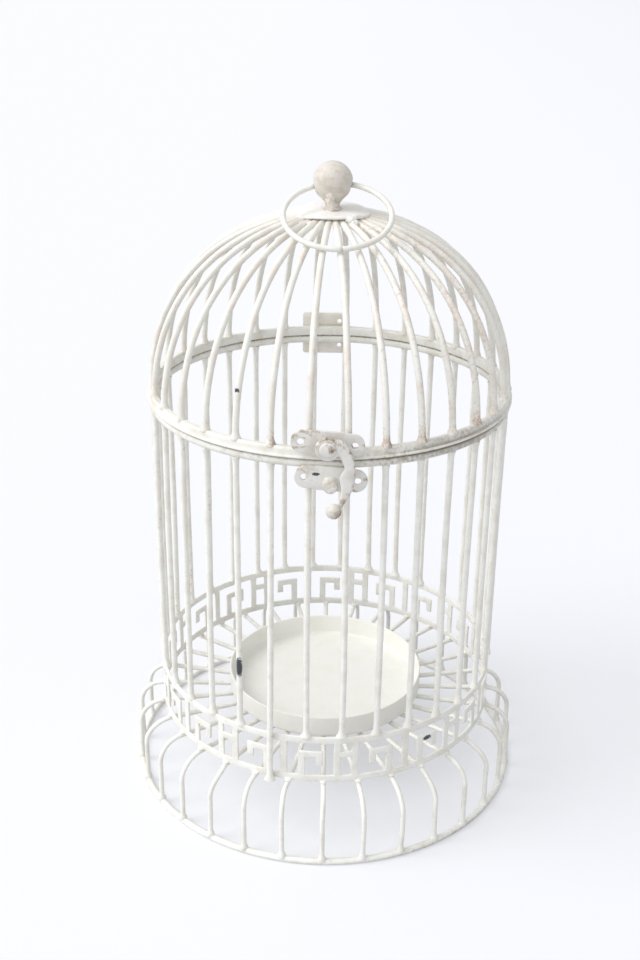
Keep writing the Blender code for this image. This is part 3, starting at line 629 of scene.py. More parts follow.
# Band: the clean coat, with one small slate-coloured spot on the lower rail at the front right
BAND_PAINT = RubbedPaint(
    "cream lacquer on cut sheet", chips=(Chip((41.0, -57.6, 44.2), (1.9, 1.9, 1.1)),)
)
# Skirt: the clean coat
SKIRT_PAINT = RubbedPaint("cream lacquer on skirt wire")
# Dish: even and more matt, as sprayed on a flat pressing
DISH_PAINT = RubbedPaint(
    "cream lacquer on pressed sheet", coat="#f1f0ea", warm="#efeee6", dirt_and_shade="#dcd8cd", roughness=0.5
)
# Dome: rubbed thin and pinkish beige along its right sides, partly as painted shade on the
# wires' right sides, with one small chip
RIB_PAINT = RubbedPaint(
    "cream lacquer on dome wire, rubbed",
    coat="#eeede5",
    warm="#e8e1d7",
    thin="#dccabb",
    rubbing=0.09,
    fleck_mm=1.2,
    chips=(Chip((-32.2, -60.3, 191.2), (0.9, 1.3, 0.8)),),
)
# Cap: the brightest coat, over thin bent sheet
CAP_PAINT = RubbedPaint(
    "cream lacquer on cap sheet", coat="#f6f4f0", warm="#f1ede6", rubbing=0.03
)
# Ball: older, mottled beige and slightly pitted
FINIAL_PAINT = RubbedPaint(
    "mottled cream lacquer on cast ball",
    coat="#dad4ca",
    warm="#cdc4b7",
    thin="#bdb0a0",
    rubbing=0.06,
    drift_mm=2.6,
    lump_mm=1.0,
    lump_depth_mm=0.14,
)
# Clasp: greyish cream, rubbed brown along its edges, with one chip on the lower plate
FITTING_PAINT = RubbedPaint(
    "cream lacquer on cast fittings, rubbed",
    coat="#e9e7e2",
    warm="#d9d4cb",
    thin="#c6bbab",
    rubbing=0.08,
    fleck_mm=1.1,
    chips=(Chip((-4.3, -73.4, 165.4), (1.3, 0.9, 0.6)),),
)
# Hinge: yellowish cream, hardly touched
HINGE_PAINT = RubbedPaint(
    "cream lacquer on hinge leaves", coat="#f3f0e8", warm="#ebe6da", dirt_and_shade="#cdc6b8", rubbing=0.02
)
# Handle: smoother and shinier from being held
HANDLE_PAINT = RubbedPaint(
    "cream lacquer on handle wire", coat="#eeede6", warm="#e6e3d9", roughness=0.36
)


# ---- pieces


@dataclass
class Piece:
    """One named mesh with what it rides on, is painted with and replaces."""

    name: str
    body: Body
    slot: Slot
    paint: RubbedPaint
    node: str
    crease_degrees: float = 38.0

    def add(self, surface: Surface) -> bpy.types.Object:
        """Adds a surface as this piece.

        Args:
            surface: the piece's mesh as arrays, in its place.

        Returns:
            The object.
        """
        return self.add_mesh(surface.mesh(self.name))

    def add_mesh(self, mesh: bpy.types.Mesh) -> bpy.types.Object:
        """Adds a finished mesh as this piece.

        Args:
            mesh: the piece's mesh, in its place.

        Returns:
            The object, parented to its body's empty.
        """
        mesh.shade_smooth()
        mesh.set_sharp_from_angle(angle=math.radians(self.crease_degrees))
        mesh.materials.clear()
        mesh.materials.append(painted(self.paint))
        item = bpy.data.objects.new(self.name, mesh)
        bpy.context.scene.collection.objects.link(item)
        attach(item, self.body.value)
        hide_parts(self.node)
        log.info("%s: %d faces", self.name, len(mesh.polygons))
        return item


@cache
def painted(paint: RubbedPaint) -> bpy.types.Material:
    """Gives the material of a paint, built once."""
    return paint.build()


def linked_object(name: str, data: bpy.types.ID) -> bpy.types.Object:
    """Makes an object of a mesh, a lamp or a camera and links it to the scene.

    Args:
        name: the object's name.
        data: the mesh, lamp or camera.

    Returns:
        The object.
    """
    item = bpy.data.objects.new(name, data)
    bpy.context.scene.collection.objects.link(item)
    return item


def shaped(item: bpy.types.Object, tool: bpy.types.Object | None = None) -> bpy.types.Mesh:
    """Applies an object's modifiers and removes the object.

    Args:
        item: the object, with its place in its mesh.
        tool: the object that cuts it, if there is one, which is removed too.

    Returns:
        The finished mesh.
    """
    bpy.context.view_layer.update()
    graph = bpy.context.evaluated_depsgraph_get()
    mesh = bpy.data.meshes.new_from_object(item.evaluated_get(graph))
    for used in (item, tool):
        if used is not None:
            bpy.data.objects.remove(used, do_unlink=True)
    return mesh


def add_cut(item: bpy.types.Object, cutters: Surface) -> bpy.types.Object:
    """Cuts closed surfaces out of an object by a modifier.

    Args:
        item: what is cut.
        cutters: what is cut out.

    Returns:
        The object of the cutters, which stays until the modifier is applied.
    """
    name = f"{item.name}_tool"
    tool = linked_object(name, cutters.mesh(name))
    cut = item.modifiers.new("holes", "BOOLEAN")
    cut.operation = "DIFFERENCE"
    cut.solver = "EXACT"
    cut.object = tool
    return tool


def add_rounding(item: bpy.types.Object, width: float, segments: int, bend: float) -> None:
    """Rounds an object's edges by a modifier.

    Args:
        item: what is rounded.
        width: the width of the rounded edges.
        segments: how many faces round an edge.
        bend: the least bend in degrees of an edge that is rounded.
    """
    bevel = item.modifiers.new("rounding", "BEVEL")
    bevel.width = width
    bevel.segments = segments
    bevel.limit_method = "ANGLE"
    bevel.angle_limit = math.radians(bend)


def cut_and_rounded(
    name: str, body: Surface, cutters: Surface, rounding: float, segments: int = 3
) -> bpy.types.Mesh:
    """Cuts one surface out of another and rounds the edges that are left.

    Args:
        name: the mesh's name.
        body: what is cut.
        cutters: closed surfaces to cut out.
        rounding: the width of the rounded edges.
        segments: how many faces round an edge.

    Returns:
        The finished mesh.
    """
    item = linked_object(name, body.mesh(name))
    tool = add_cut(item, cutters)
    add_rounding(item, rounding, segments, bend=35)
    return shaped(item, tool)


def screw_holes(
    radius: float, spacing: float, middle: float, steps: int, depths: tuple[float, float]
) -> Surface:
    """Gives two straight pins side by side, to cut out of a plate as its screw holes.

    Args:
        radius: of a hole.
        spacing: from hole to hole, along X.
        middle: where they lie along Y.
        steps: how many faces a hole has round it.
        depths: the heights of its ends.

    Returns:
        The two pins.
    """
    pin = np.array([(radius, depth) for depth in depths])
    left, right = (
        turned(pin, steps).placed(Matrix.Translation((side * spacing / 2, middle, 0)))
        for side in (-1, 1)
    )
    return left.joined(right)


def weld_blob(blob: Blob) -> Surface:
    """Gives a blob of weld: a ball with a wavy skin, squeezed and put in place.

    The skin's distance is 1 + 0.12 sin(3 a + 2 b + twist) + 0.08 sin(5 a - 3 b + 2 twist), where
    a is the angle round the blob and b the angle up it.

    Args:
        blob: its middle, its half sizes along X, Y and Z, and its twist.

    Returns:
        The closed blob.
    """
    centre, half, twist = blob
    steps = 20
    up = np.radians(np.linspace(-84, 84, 15))[:, None]
    round_it = angles_round(steps)[None, :]
    skin = 1 + 0.12 * np.sin(3 * round_it + 2 * up + twist)
    skin = skin + 0.08 * np.sin(5 * round_it - 3 * up + 2 * twist)
    surface = turned(np.stack((np.cos(up) * skin, np.sin(up) * skin), axis=-1), steps)
    surface.points = surface.points * (np.array(half) * MM) + np.array(centre) * MM
    return surface


def cast(
    name: str, body: Surface, voxel: float, rounds: int, cutters: Surface | None = None
) -> bpy.types.Mesh:
    """Fuses overlapping surfaces into one skin and softens it, as cast and painted metal is.

    Args:
        name: the mesh's name.
        body: the overlapping closed surfaces.
        voxel: the size of the fused skin's faces.
        rounds: how often the skin is smoothed.
        cutters: closed surfaces to cut out after that, or None.

    Returns:
        The finished mesh.
    """
    item = linked_object(name, body.mesh(name))
    fused = item.modifiers.new("fused", "REMESH")
    fused.mode = "VOXEL"
    fused.voxel_size = voxel
    soft = item.modifiers.new("softened", "SMOOTH")
    soft.factor = 0.5
    soft.iterations = rounds
    return shaped(item, None if cutters is None else add_cut(item, cutters))


MOST_BEND = 0.6
# How dark a hollow gets per bend: dirt, and painted shade in the crevices
HOLLOW_DIRT_AND_SHADE = 1.6


def rub_edges(
    mesh: bpy.types.Mesh,
    strength: float,
    floor: float = 0.0,
    spots: tuple[Rub, ...] = (),
) -> None:
    """Writes wear where a mesh is convex or lies at a rubbed spot, and grime where it is hollow.

    For each point, its bend is its normal dotted with the point minus the mean of its
    neighbours, over the mean distance to them, and counts up to MOST_BEND. A spot adds a
    bell of the distance in XZ. The grime in hollows is dirt and painted shade in the crevices.

    Args:
        mesh: the mesh that gets the attributes.
        strength: how much wear a bend gives.
        floor: the wear of a flat place.
        spots: the x, z and radius in millimetres and the wear of each rubbed spot.
    """
    count = len(mesh.vertices)
    points = np.empty(count * 3, dtype=np.float32)
    normals = np.empty(count * 3, dtype=np.float32)
    pairs = np.empty(len(mesh.edges) * 2, dtype=np.int32)
    mesh.vertices.foreach_get("co", points)
    mesh.vertices.foreach_get("normal", normals)
    mesh.edges.foreach_get("vertices", pairs)
    points, normals, pairs = points.reshape(-1, 3), normals.reshape(-1, 3), pairs.reshape(-1, 2)
    total, share, reach = np.zeros((count, 3)), np.zeros(count), np.zeros(count)
    lengths = np.linalg.norm(points[pairs[:, 0]] - points[pairs[:, 1]], axis=1)
    for one, other in ((0, 1), (1, 0)):
        np.add.at(total, pairs[:, one], points[pairs[:, other]])
        np.add.at(share, pairs[:, one], 1)
        np.add.at(reach, pairs[:, one], lengths)
    share = np.maximum(share, 1)
    off_mean = np.sum(normals * (points - total / share[:, None]), axis=1)
    bend = off_mean / np.maximum(reach / share, 1e-9)
    wear = floor + strength * np.clip(bend, 0, MOST_BEND)
    for x, z, radius, amount in spots:
        off = np.hypot(points[:, 0] - x * MM, points[:, 2] - z * MM)
        wear += amount * swell(off, 0.0, radius * MM)
    write_attribute(mesh, "wear", wear)
    # Hollows get the dark layer: dirt, and painted shade in the crevices
    write_attribute(mesh, "grime_and_shade", np.clip(-bend * HOLLOW_DIRT_AND_SHADE, 0, MOST_BEND))


def plate_surface(outline: np.ndarray, low: float, high: float) -> Surface:
    """Makes a flat plate from an outline in XY between two heights: two rows of the outline.

    The caps are fans round the outline's middle, so the outline is one that its middle sees.

    Args:
        outline: rows of x and y.
        low: the height of the lower face.
        high: the height of the upper face.

    Returns:
        The closed plate.
    """
    return lattice(np.stack([lifted(outline, height) for height in (low, high)])[None])


def lifted(outline: np.ndarray, height: float) -> np.ndarray:
    """Puts an outline in XY at a height."""
    return np.column_stack((outline, np.full(len(outline), height)))


# Local Z to the front: X stays, Y turns up and Z turns to -Y
FACING_FRONT = Matrix.Rotation(math.pi / 2, 4, "X")


@dataclass
class Layout:
    """Sizes that several sub-assemblies share, as in the CAD model."""

    wire_count: int = 32
    cage_radius: float = 70.0 * MM
    joint_height: float = 170.0 * MM
    body_ring_low: float = 166.55 * MM
    body_ring_high: float = 169.85 * MM
    lid_ring_low: float = 170.15 * MM
    lid_ring_high: float = 173.85 * MM
    band_low: float = 31.6 * MM
    band_high: float = 52.5 * MM
    band_inner: float = 69.75 * MM
    band_outer: float = 70.75 * MM
    cap_low: float = 240.897 * MM
    cap_high: float = 242.097 * MM

    def bar_angles(self) -> np.ndarray:
        """Gives the angles of the bars and ribs, half a step either side of the front."""
        return (np.arange(self.wire_count) + 0.5) * TURN / self.wire_count

    def skirt_angles(self) -> np.ndarray:
        """Gives the angles of the skirt wires, one of them at the front."""
        return angles_round(self.wire_count)


@dataclass
class BodyBars:
    """The upright bars, with a pooled weld at the foot and the head of each."""

    layout: Layout
    radius: float = 1.2 * MM
    foot_radius: float = 1.75 * MM
    foot_spread: float = 1.35
    foot_length: float = 1.5 * MM
    head_radius: float = 1.65 * MM
    head_length: float = 1.3 * MM
    sway: float = 0.3 * MM
    foot_sink: float = 0.15 * MM
    head_sink: float = 0.3 * MM
    ripple: float = 0.02
    ripple_length: float = 3.1 * MM
    leaning_bar: int = 30
    leaning_foot_radius: float = 72.55 * MM
    plain_wear: float = 0.1
    foot_wear: Bell = Bell(0.16, 3 * MM)
    head_wear: Bell = Bell(0.3, 9 * MM)
    leaning_wear: Bell = Bell(0.3, 2.5 * MM)
    # A stretch somewhere along the bar, in shares of its length
    stretch_wear: Bell = Bell(0.34, 0.12)
    foot_grime: Bell = Bell(0.12, 0.4 * MM)
    head_grime: Bell = Bell(0.2, 0.4 * MM)
    rows: int = 44
    seed: int = 11

    def build(self) -> None:
        """Builds the 32 bars, each its own piece."""
        rng = np.random.default_rng(self.seed)
        for number, angle in enumerate(self.layout.bar_angles()):
            surface = self._bar(number, angle, rng)
            node = f"body_bar_{number + 1:02d}"
            piece = Piece(f"bar_wire_{number + 1:02d}", Body.BASE, Slot.BARS, BAR_PAINT, node)
            piece.add(surface)

    def _bar(self, number: int, angle: float, rng: np.random.Generator) -> Surface:
        """Gives one bar: an almost straight path whose radius swells into a weld at both ends.

        It bows sideways and outwards by half a sine wave of a small random height, and
        the leaning bar's radius also falls in a straight line from its foot to its head.

        Args:
            number: the bar's place round the cage.
            angle: its angle.
            rng: the source of its small bends.

        Returns:
            The bar's surface.
        """
        lay = self.layout
        leaning = number == self.leaning_bar
        low = (lay.band_low if leaning else lay.band_high) - self.foot_sink
        high = lay.body_ring_low + self.head_sink
        height = low + (high - low) * self._spacing()
        share = (height - low) / (high - low)
        half_wave = np.sin(math.pi * share)
        bow = half_wave * rng.normal(0, self.sway)
        bow = bow + np.sin(TURN * share) * rng.normal(0, self.sway / 2)
        radius = lay.cage_radius + half_wave * rng.normal(0, self.sway)
        if leaning:
            lean = lay.cage_radius - self.leaning_foot_radius
            radius = self.leaning_foot_radius + lean * share
        path = upright_paths(np.stack((radius, height), axis=-1), np.array([angle]), bow)
        foot = swell(height, low, self.foot_length)
        head = swell(height, high, self.head_length)
        radii = self.radius + foot * (self.foot_radius - self.radius)
        radii = radii + head * (self.head_radius - self.radius)
        radii = radii * (1 + self.ripple * np.sin(height / self.ripple_length + number))
        rubbed = rng.random(3)
        wear = self.foot_wear.at(height, low) + rubbed[0] * self.head_wear.at(height, high)
        wear = wear + rubbed[1] * self.stretch_wear.at(share, rubbed[2]) + self.plain_wear
        if leaning:
            wear = wear + self.leaning_wear.at(height, lay.band_high)
        grime_and_shade = self.foot_grime.at(height, low) + self.head_grime.at(height, high)
        return wires(
            path,
            radii,
            around_at(np.array([angle])),
            spread=1 + foot * (self.foot_spread - 1),
            # More on each bar's right side at the front: wear, and partly painted shade
            wear=wear[:, None] * sided_wear_and_shade(plain=0.6, more=0.9),
            grime_and_shade=grime_and_shade[:, None],
        )

    def _spacing(self) -> np.ndarray:
        """Gives places from 0 to 1 that crowd at both ends: half of one minus a cosine."""
        return (1 - np.cos(np.linspace(0, math.pi, self.rows))) / 2


@dataclass
class Rings:
    """The body ring and the lid ring, with the narrow seam between them.

    The seam and, less, the outsides are painted darker, mostly at the shaded front right:
    painted shade under the lid's lip and on the side away from the light, with some dirt.
    """

    layout: Layout
    steps: int = 256
    body_half_width: float = 1.6 * MM
    body_squareness: float = 0.85
    lid_half_width: float = 1.5 * MM
    lid_inner_corner: float = 0.4 * MM
    lip_reach: float = 0.75 * MM
    lip_height: float = 0.9 * MM
    waviness: float = 0.05 * MM
    shaded_middle: float = math.radians(42)
    shaded_width: float = 0.5
    # Painted shade with some dirt in the seam, what the shaded side adds to it, and the
    # painted shade on that side outside
    body_dirt_and_shade: Triple = (0.45, 0.6, 0.52)
    lid_dirt_and_shade: Triple = (0.4, 0.8, 0.36)
    body_seam_width: float = 0.5 * MM
    lid_seam_width: float = 0.25 * MM
    crevice_shade: Bell = Bell(0.5, 0.5 * MM)
    body_wear: float = 0.14
    outer_wear: float = 0.16
    lid_wear: float = 0.12
    lip_wear: Bell = Bell(0.2, 0.7 * MM)
    # Stretches where hands open the lid: the angle, its width and the wear there
    stretches: tuple[Triple, ...] = (
        (-0.42, 0.16, 0.16),
        (0.34, 0.2, 0.26),
        (1.3, 0.3, 0.14),
        (-1.5, 0.3, 0.12),
        (2.7, 0.5, 0.14),
    )

    def build(self) -> None:
        """Builds both rings."""
        self._body_ring()
        self._lid_ring()

    def _body_ring(self) -> None:
        """Builds the body ring: a superellipse of radius and height, carried round the cage."""
        lay = self.layout
        middle = (lay.body_ring_low + lay.body_ring_high) / 2
        half = (lay.body_ring_high - lay.body_ring_low) / 2
        angles = np.linspace(0, TURN, 20, endpoint=False)
        rise = signed_power(np.sin(angles), self.body_squareness)
        radius = lay.cage_radius + self.body_half_width * np.cos(angles)
        profile = np.stack((radius, middle + half * rise), axis=-1)
        # Painted shade, with some dirt, in the seam under the lid's lip and on the shaded front
        # right
        shaded = self._shaded_side()
        seam = swell(profile[:, 1], lay.body_ring_high, self.body_seam_width)[:, None]
        plain, shaded_seam, shaded_side = self.body_dirt_and_shade
        grime_and_shade = seam * (plain + shaded_seam * shaded)
        grime_and_shade = grime_and_shade + shaded_side * (rise > -0.6)[:, None] * shaded
        wear = (self.body_wear + self.outer_wear * np.clip(np.cos(angles), 0, 1))[:, None]
        wear = wear + self._rubbed_stretches()
        piece = Piece("body_ring_wire", Body.BASE, Slot.RINGS, RING_PAINT, "body_ring")
        wavy = self._wavy(profile)
        piece.add(turned(wavy, self.steps, looped=True, wear=wear, grime_and_shade=grime_and_shade))

    def _lid_ring(self) -> None:
        """Builds the lid ring from its outline: a flattened round top and a lip low outside."""
        lay = self.layout
        top, corner, lip = self.lid_half_width, self.lid_inner_corner, self.lip_height / 2
        inner, outer = lay.cage_radius - top, lay.cage_radius + top
        low, high = lay.lid_ring_low, lay.lid_ring_high
        profile = np.concatenate(
            (
                arc((outer + self.lip_reach - lip, low + lip), lip, -90, 88, 8),
                [(outer + 0.08 * MM, low + 2.02 * lip), (outer, low + 2.35 * lip)],
                arc((lay.cage_radius, high - top * 0.8), top, 0, 180, 11),
                arc((inner + corner, low + corner), corner, 180, 270, 4),
            )
        )
        profile[:, 1] = np.minimum(profile[:, 1], high)
        height, outside = profile[:, 1], profile[:, 0] > lay.cage_radius
        on_lip = self.lip_wear.at(height, low + lip) * outside
        wear = (self.lid_wear + on_lip)[:, None] + self._rubbed_stretches()
        # Painted shade, with some dirt, in the seam, above the lip and on the shaded front right
        shaded = self._shaded_side()
        seam = swell(height, low, self.lid_seam_width)[:, None]
        above_lip = outside * (height > low + 2.2 * lip)
        # The crevice above the lip is painted shade, which sets off the lip's bright line
        crevice = above_lip * self.crevice_shade.at(height, low + 2.4 * lip)
        plain, shaded_seam, shaded_side = self.lid_dirt_and_shade
        grime_and_shade = seam * (plain + shaded_seam * shaded)
        grime_and_shade = grime_and_shade + (shaded_side * above_lip + crevice)[:, None] * shaded
        piece = Piece("lid_ring_rim", Body.LID, Slot.RINGS, RING_PAINT, "lid_ring")
        wavy = self._wavy(profile)
        piece.add(turned(wavy, self.steps, looped=True, wear=wear, grime_and_shade=grime_and_shade))

    def _shaded_side(self) -> np.ndarray:
        """Gives how shaded each step round is: a bell of the angle."""
        return swell(wrapped(angles_round(self.steps)), self.shaded_middle, self.shaded_width)

    def _rubbed_stretches(self) -> np.ndarray:
        """Gives extra wear at each step round: the sum of a bell of the angle per stretch."""
        angles = wrapped(angles_round(self.steps))
        return sum(wear * swell(angles, middle, width) for middle, width, wear in self.stretches)

    def _wavy(self, profile: np.ndarray) -> np.ndarray:
        """Lets a profile's radius wave a little round the ring, as on hand-bent wire.

        Args:
            profile: rows of radius and height.

        Returns:
            The profile at each step, whose radius has two waves added: sin(3 a + 1) and
            0.6 sin(7 a), times the waviness.
        """
        angles = angles_round(self.steps)
        wave = self.waviness * (np.sin(3 * angles + 1) + 0.6 * np.sin(7 * angles))
        spread = np.repeat(profile[:, None, :], self.steps, axis=1)
        spread[..., 0] += wave
        return spread


@dataclass
class Dome:
    """The bent ribs of the lid, with the washer that holds their upper ends."""

    layout: Layout
    rise: float = 70.0 * MM
    power: float = 2.2
    radius: float = 1.25 * MM
    foot_radius: float = 2.0 * MM
    foot_length: float = 1.5 * MM
    end_radius: float = 11.9 * MM
    washer_inner: float = 8.7 * MM
    washer_outer: float = 13.5 * MM
    washer_half: float = 0.8 * MM
    sway: float = 0.16 * MM
    rows: int = 72
    foot_sink: float = 0.45 * MM
    crowding: float = 1.15
    worn_rib: int = 30
    worn_rib_more: float = 1.5
    rubbed_side: float = math.radians(38)
    far_share: float = 0.5
    front_share: float = 0.6
    plain_wear: float = 0.12
    least_foot_share: float = 0.4
    # Where the long and the short patches lie: their least distance from the foot and its range
    long_places: tuple[float, float] = (12.0, 70.0)
    short_places: tuple[float, float] = (15.0, 80.0)
    side_wear: Bell = Bell(0.33, 0.7)
    foot_wear: Bell = Bell(0.28, 5 * MM)
    long_wear: Bell = Bell(0.3, 22 * MM)
    short_wear: Bell = Bell(0.2, 7 * MM)
    foot_grime: Bell = Bell(0.25, 0.5 * MM)
    seed: int = 5

    def height(self, radius: float) -> float:
        """Gives the ribs' height over a radius: rise times (1 - (r / R)^p)^(1 / p)."""
        share = 1 - (radius / self.layout.cage_radius) ** self.power
        return self.layout.joint_height + self.rise * share ** (1 / self.power)

    def build(self) -> None:
        """Builds the ribs and the washer as one piece."""
        lay = self.layout
        rng = np.random.default_rng(self.seed)
        angles = lay.bar_angles()
        foot = lay.lid_ring_high - self.foot_sink
        first = math.asin(((foot - lay.joint_height) / self.rise) ** (self.power / 2))
        last = math.acos((self.end_radius / lay.cage_radius) ** (self.power / 2))
        share = np.linspace(0, 1, self.rows)
        turns = first + (last - first) * share**self.crowding
        profile = np.stack(
            (
                lay.cage_radius * np.cos(turns) ** (2 / self.power),
                lay.joint_height + self.rise * np.sin(turns) ** (2 / self.power),
            ),
            axis=-1,
        )
        sway = 0.0
        for part, waves in ((1, 0.5), (2, 1.0), (3, 2.0)):
            reach = rng.normal(0, self.sway / part, (len(angles), 1))
            sway = sway + reach * np.sin(waves * TURN * share)
        paths = upright_paths(profile, angles, sway)
        length = length_along(profile)
        weld = swell(length, 0.0, self.foot_length)
        radii = self.radius + weld * (self.foot_radius - self.radius)
        ribs = wires(
            paths,
            radii[None, :],
            around_at(angles),
            # More on each rib's right side at the front: wear, and partly painted shade
            wear=self._wear(length, rng)[:, :, None] * sided_wear_and_shade(plain=0.78, more=0.4),
            grime_and_shade=self.foot_grime.at(length, 0.0)[:, None],
        )
        surface = ribs.joined(self._washer())
        Piece("dome_rib_wires", Body.LID, Slot.RIBS, RIB_PAINT, "dome_ribs").add(surface)

    def _washer(self) -> Surface:
        """Gives the washer that the ribs end on: an ellipse carried round at their end height.

        Returns:
            The washer's surface.
        """
        ring = arc((0.0, 0.0), 1.0, 0, 360, 17)[:-1]
        half = [(self.washer_outer - self.washer_inner) / 2, self.washer_half]
        middle = [(self.washer_outer + self.washer_inner) / 2, self.height(self.end_radius)]
        return turned(ring * half + middle, 96, looped=True, wear=0.1, grime_and_shade=0.2)

    def _wear(self, length: np.ndarray, rng: np.random.Generator) -> np.ndarray:
        """Gives how rubbed each rib is along its length.

        A bell at the foot and two at random places, all of random strength, and stronger
        at the front right of the cage and on the rib that hands rub most.

        Args:
            length: each row's distance from the foot.
            rng: the source of the random places.

        Returns:
            An array of ribs by rows.
        """
        angles = self.layout.bar_angles()
        random = rng.random((len(angles), 5))
        off_side = angles - self.rubbed_side
        front = self.far_share + self.front_share * np.clip(np.cos(off_side), 0, 1)
        front[self.worn_rib] *= self.worn_rib_more
        wear = (self.least_foot_share + random[:, :1]) * self.foot_wear.at(length, 1 * MM)
        long_place, short_place = (
            (least + reach * random[:, column : column + 1]) * MM
            for (least, reach), column in ((self.long_places, 2), (self.short_places, 4))
        )
        wear = wear + random[:, 1:2] * self.long_wear.at(length, long_place)
        wear = wear + random[:, 3:4] * self.short_wear.at(length, short_place)
        aside = self.side_wear.at(wrapped(off_side), 0.0)
        return (wear + self.plain_wear) * front[:, None] + aside[:, None]


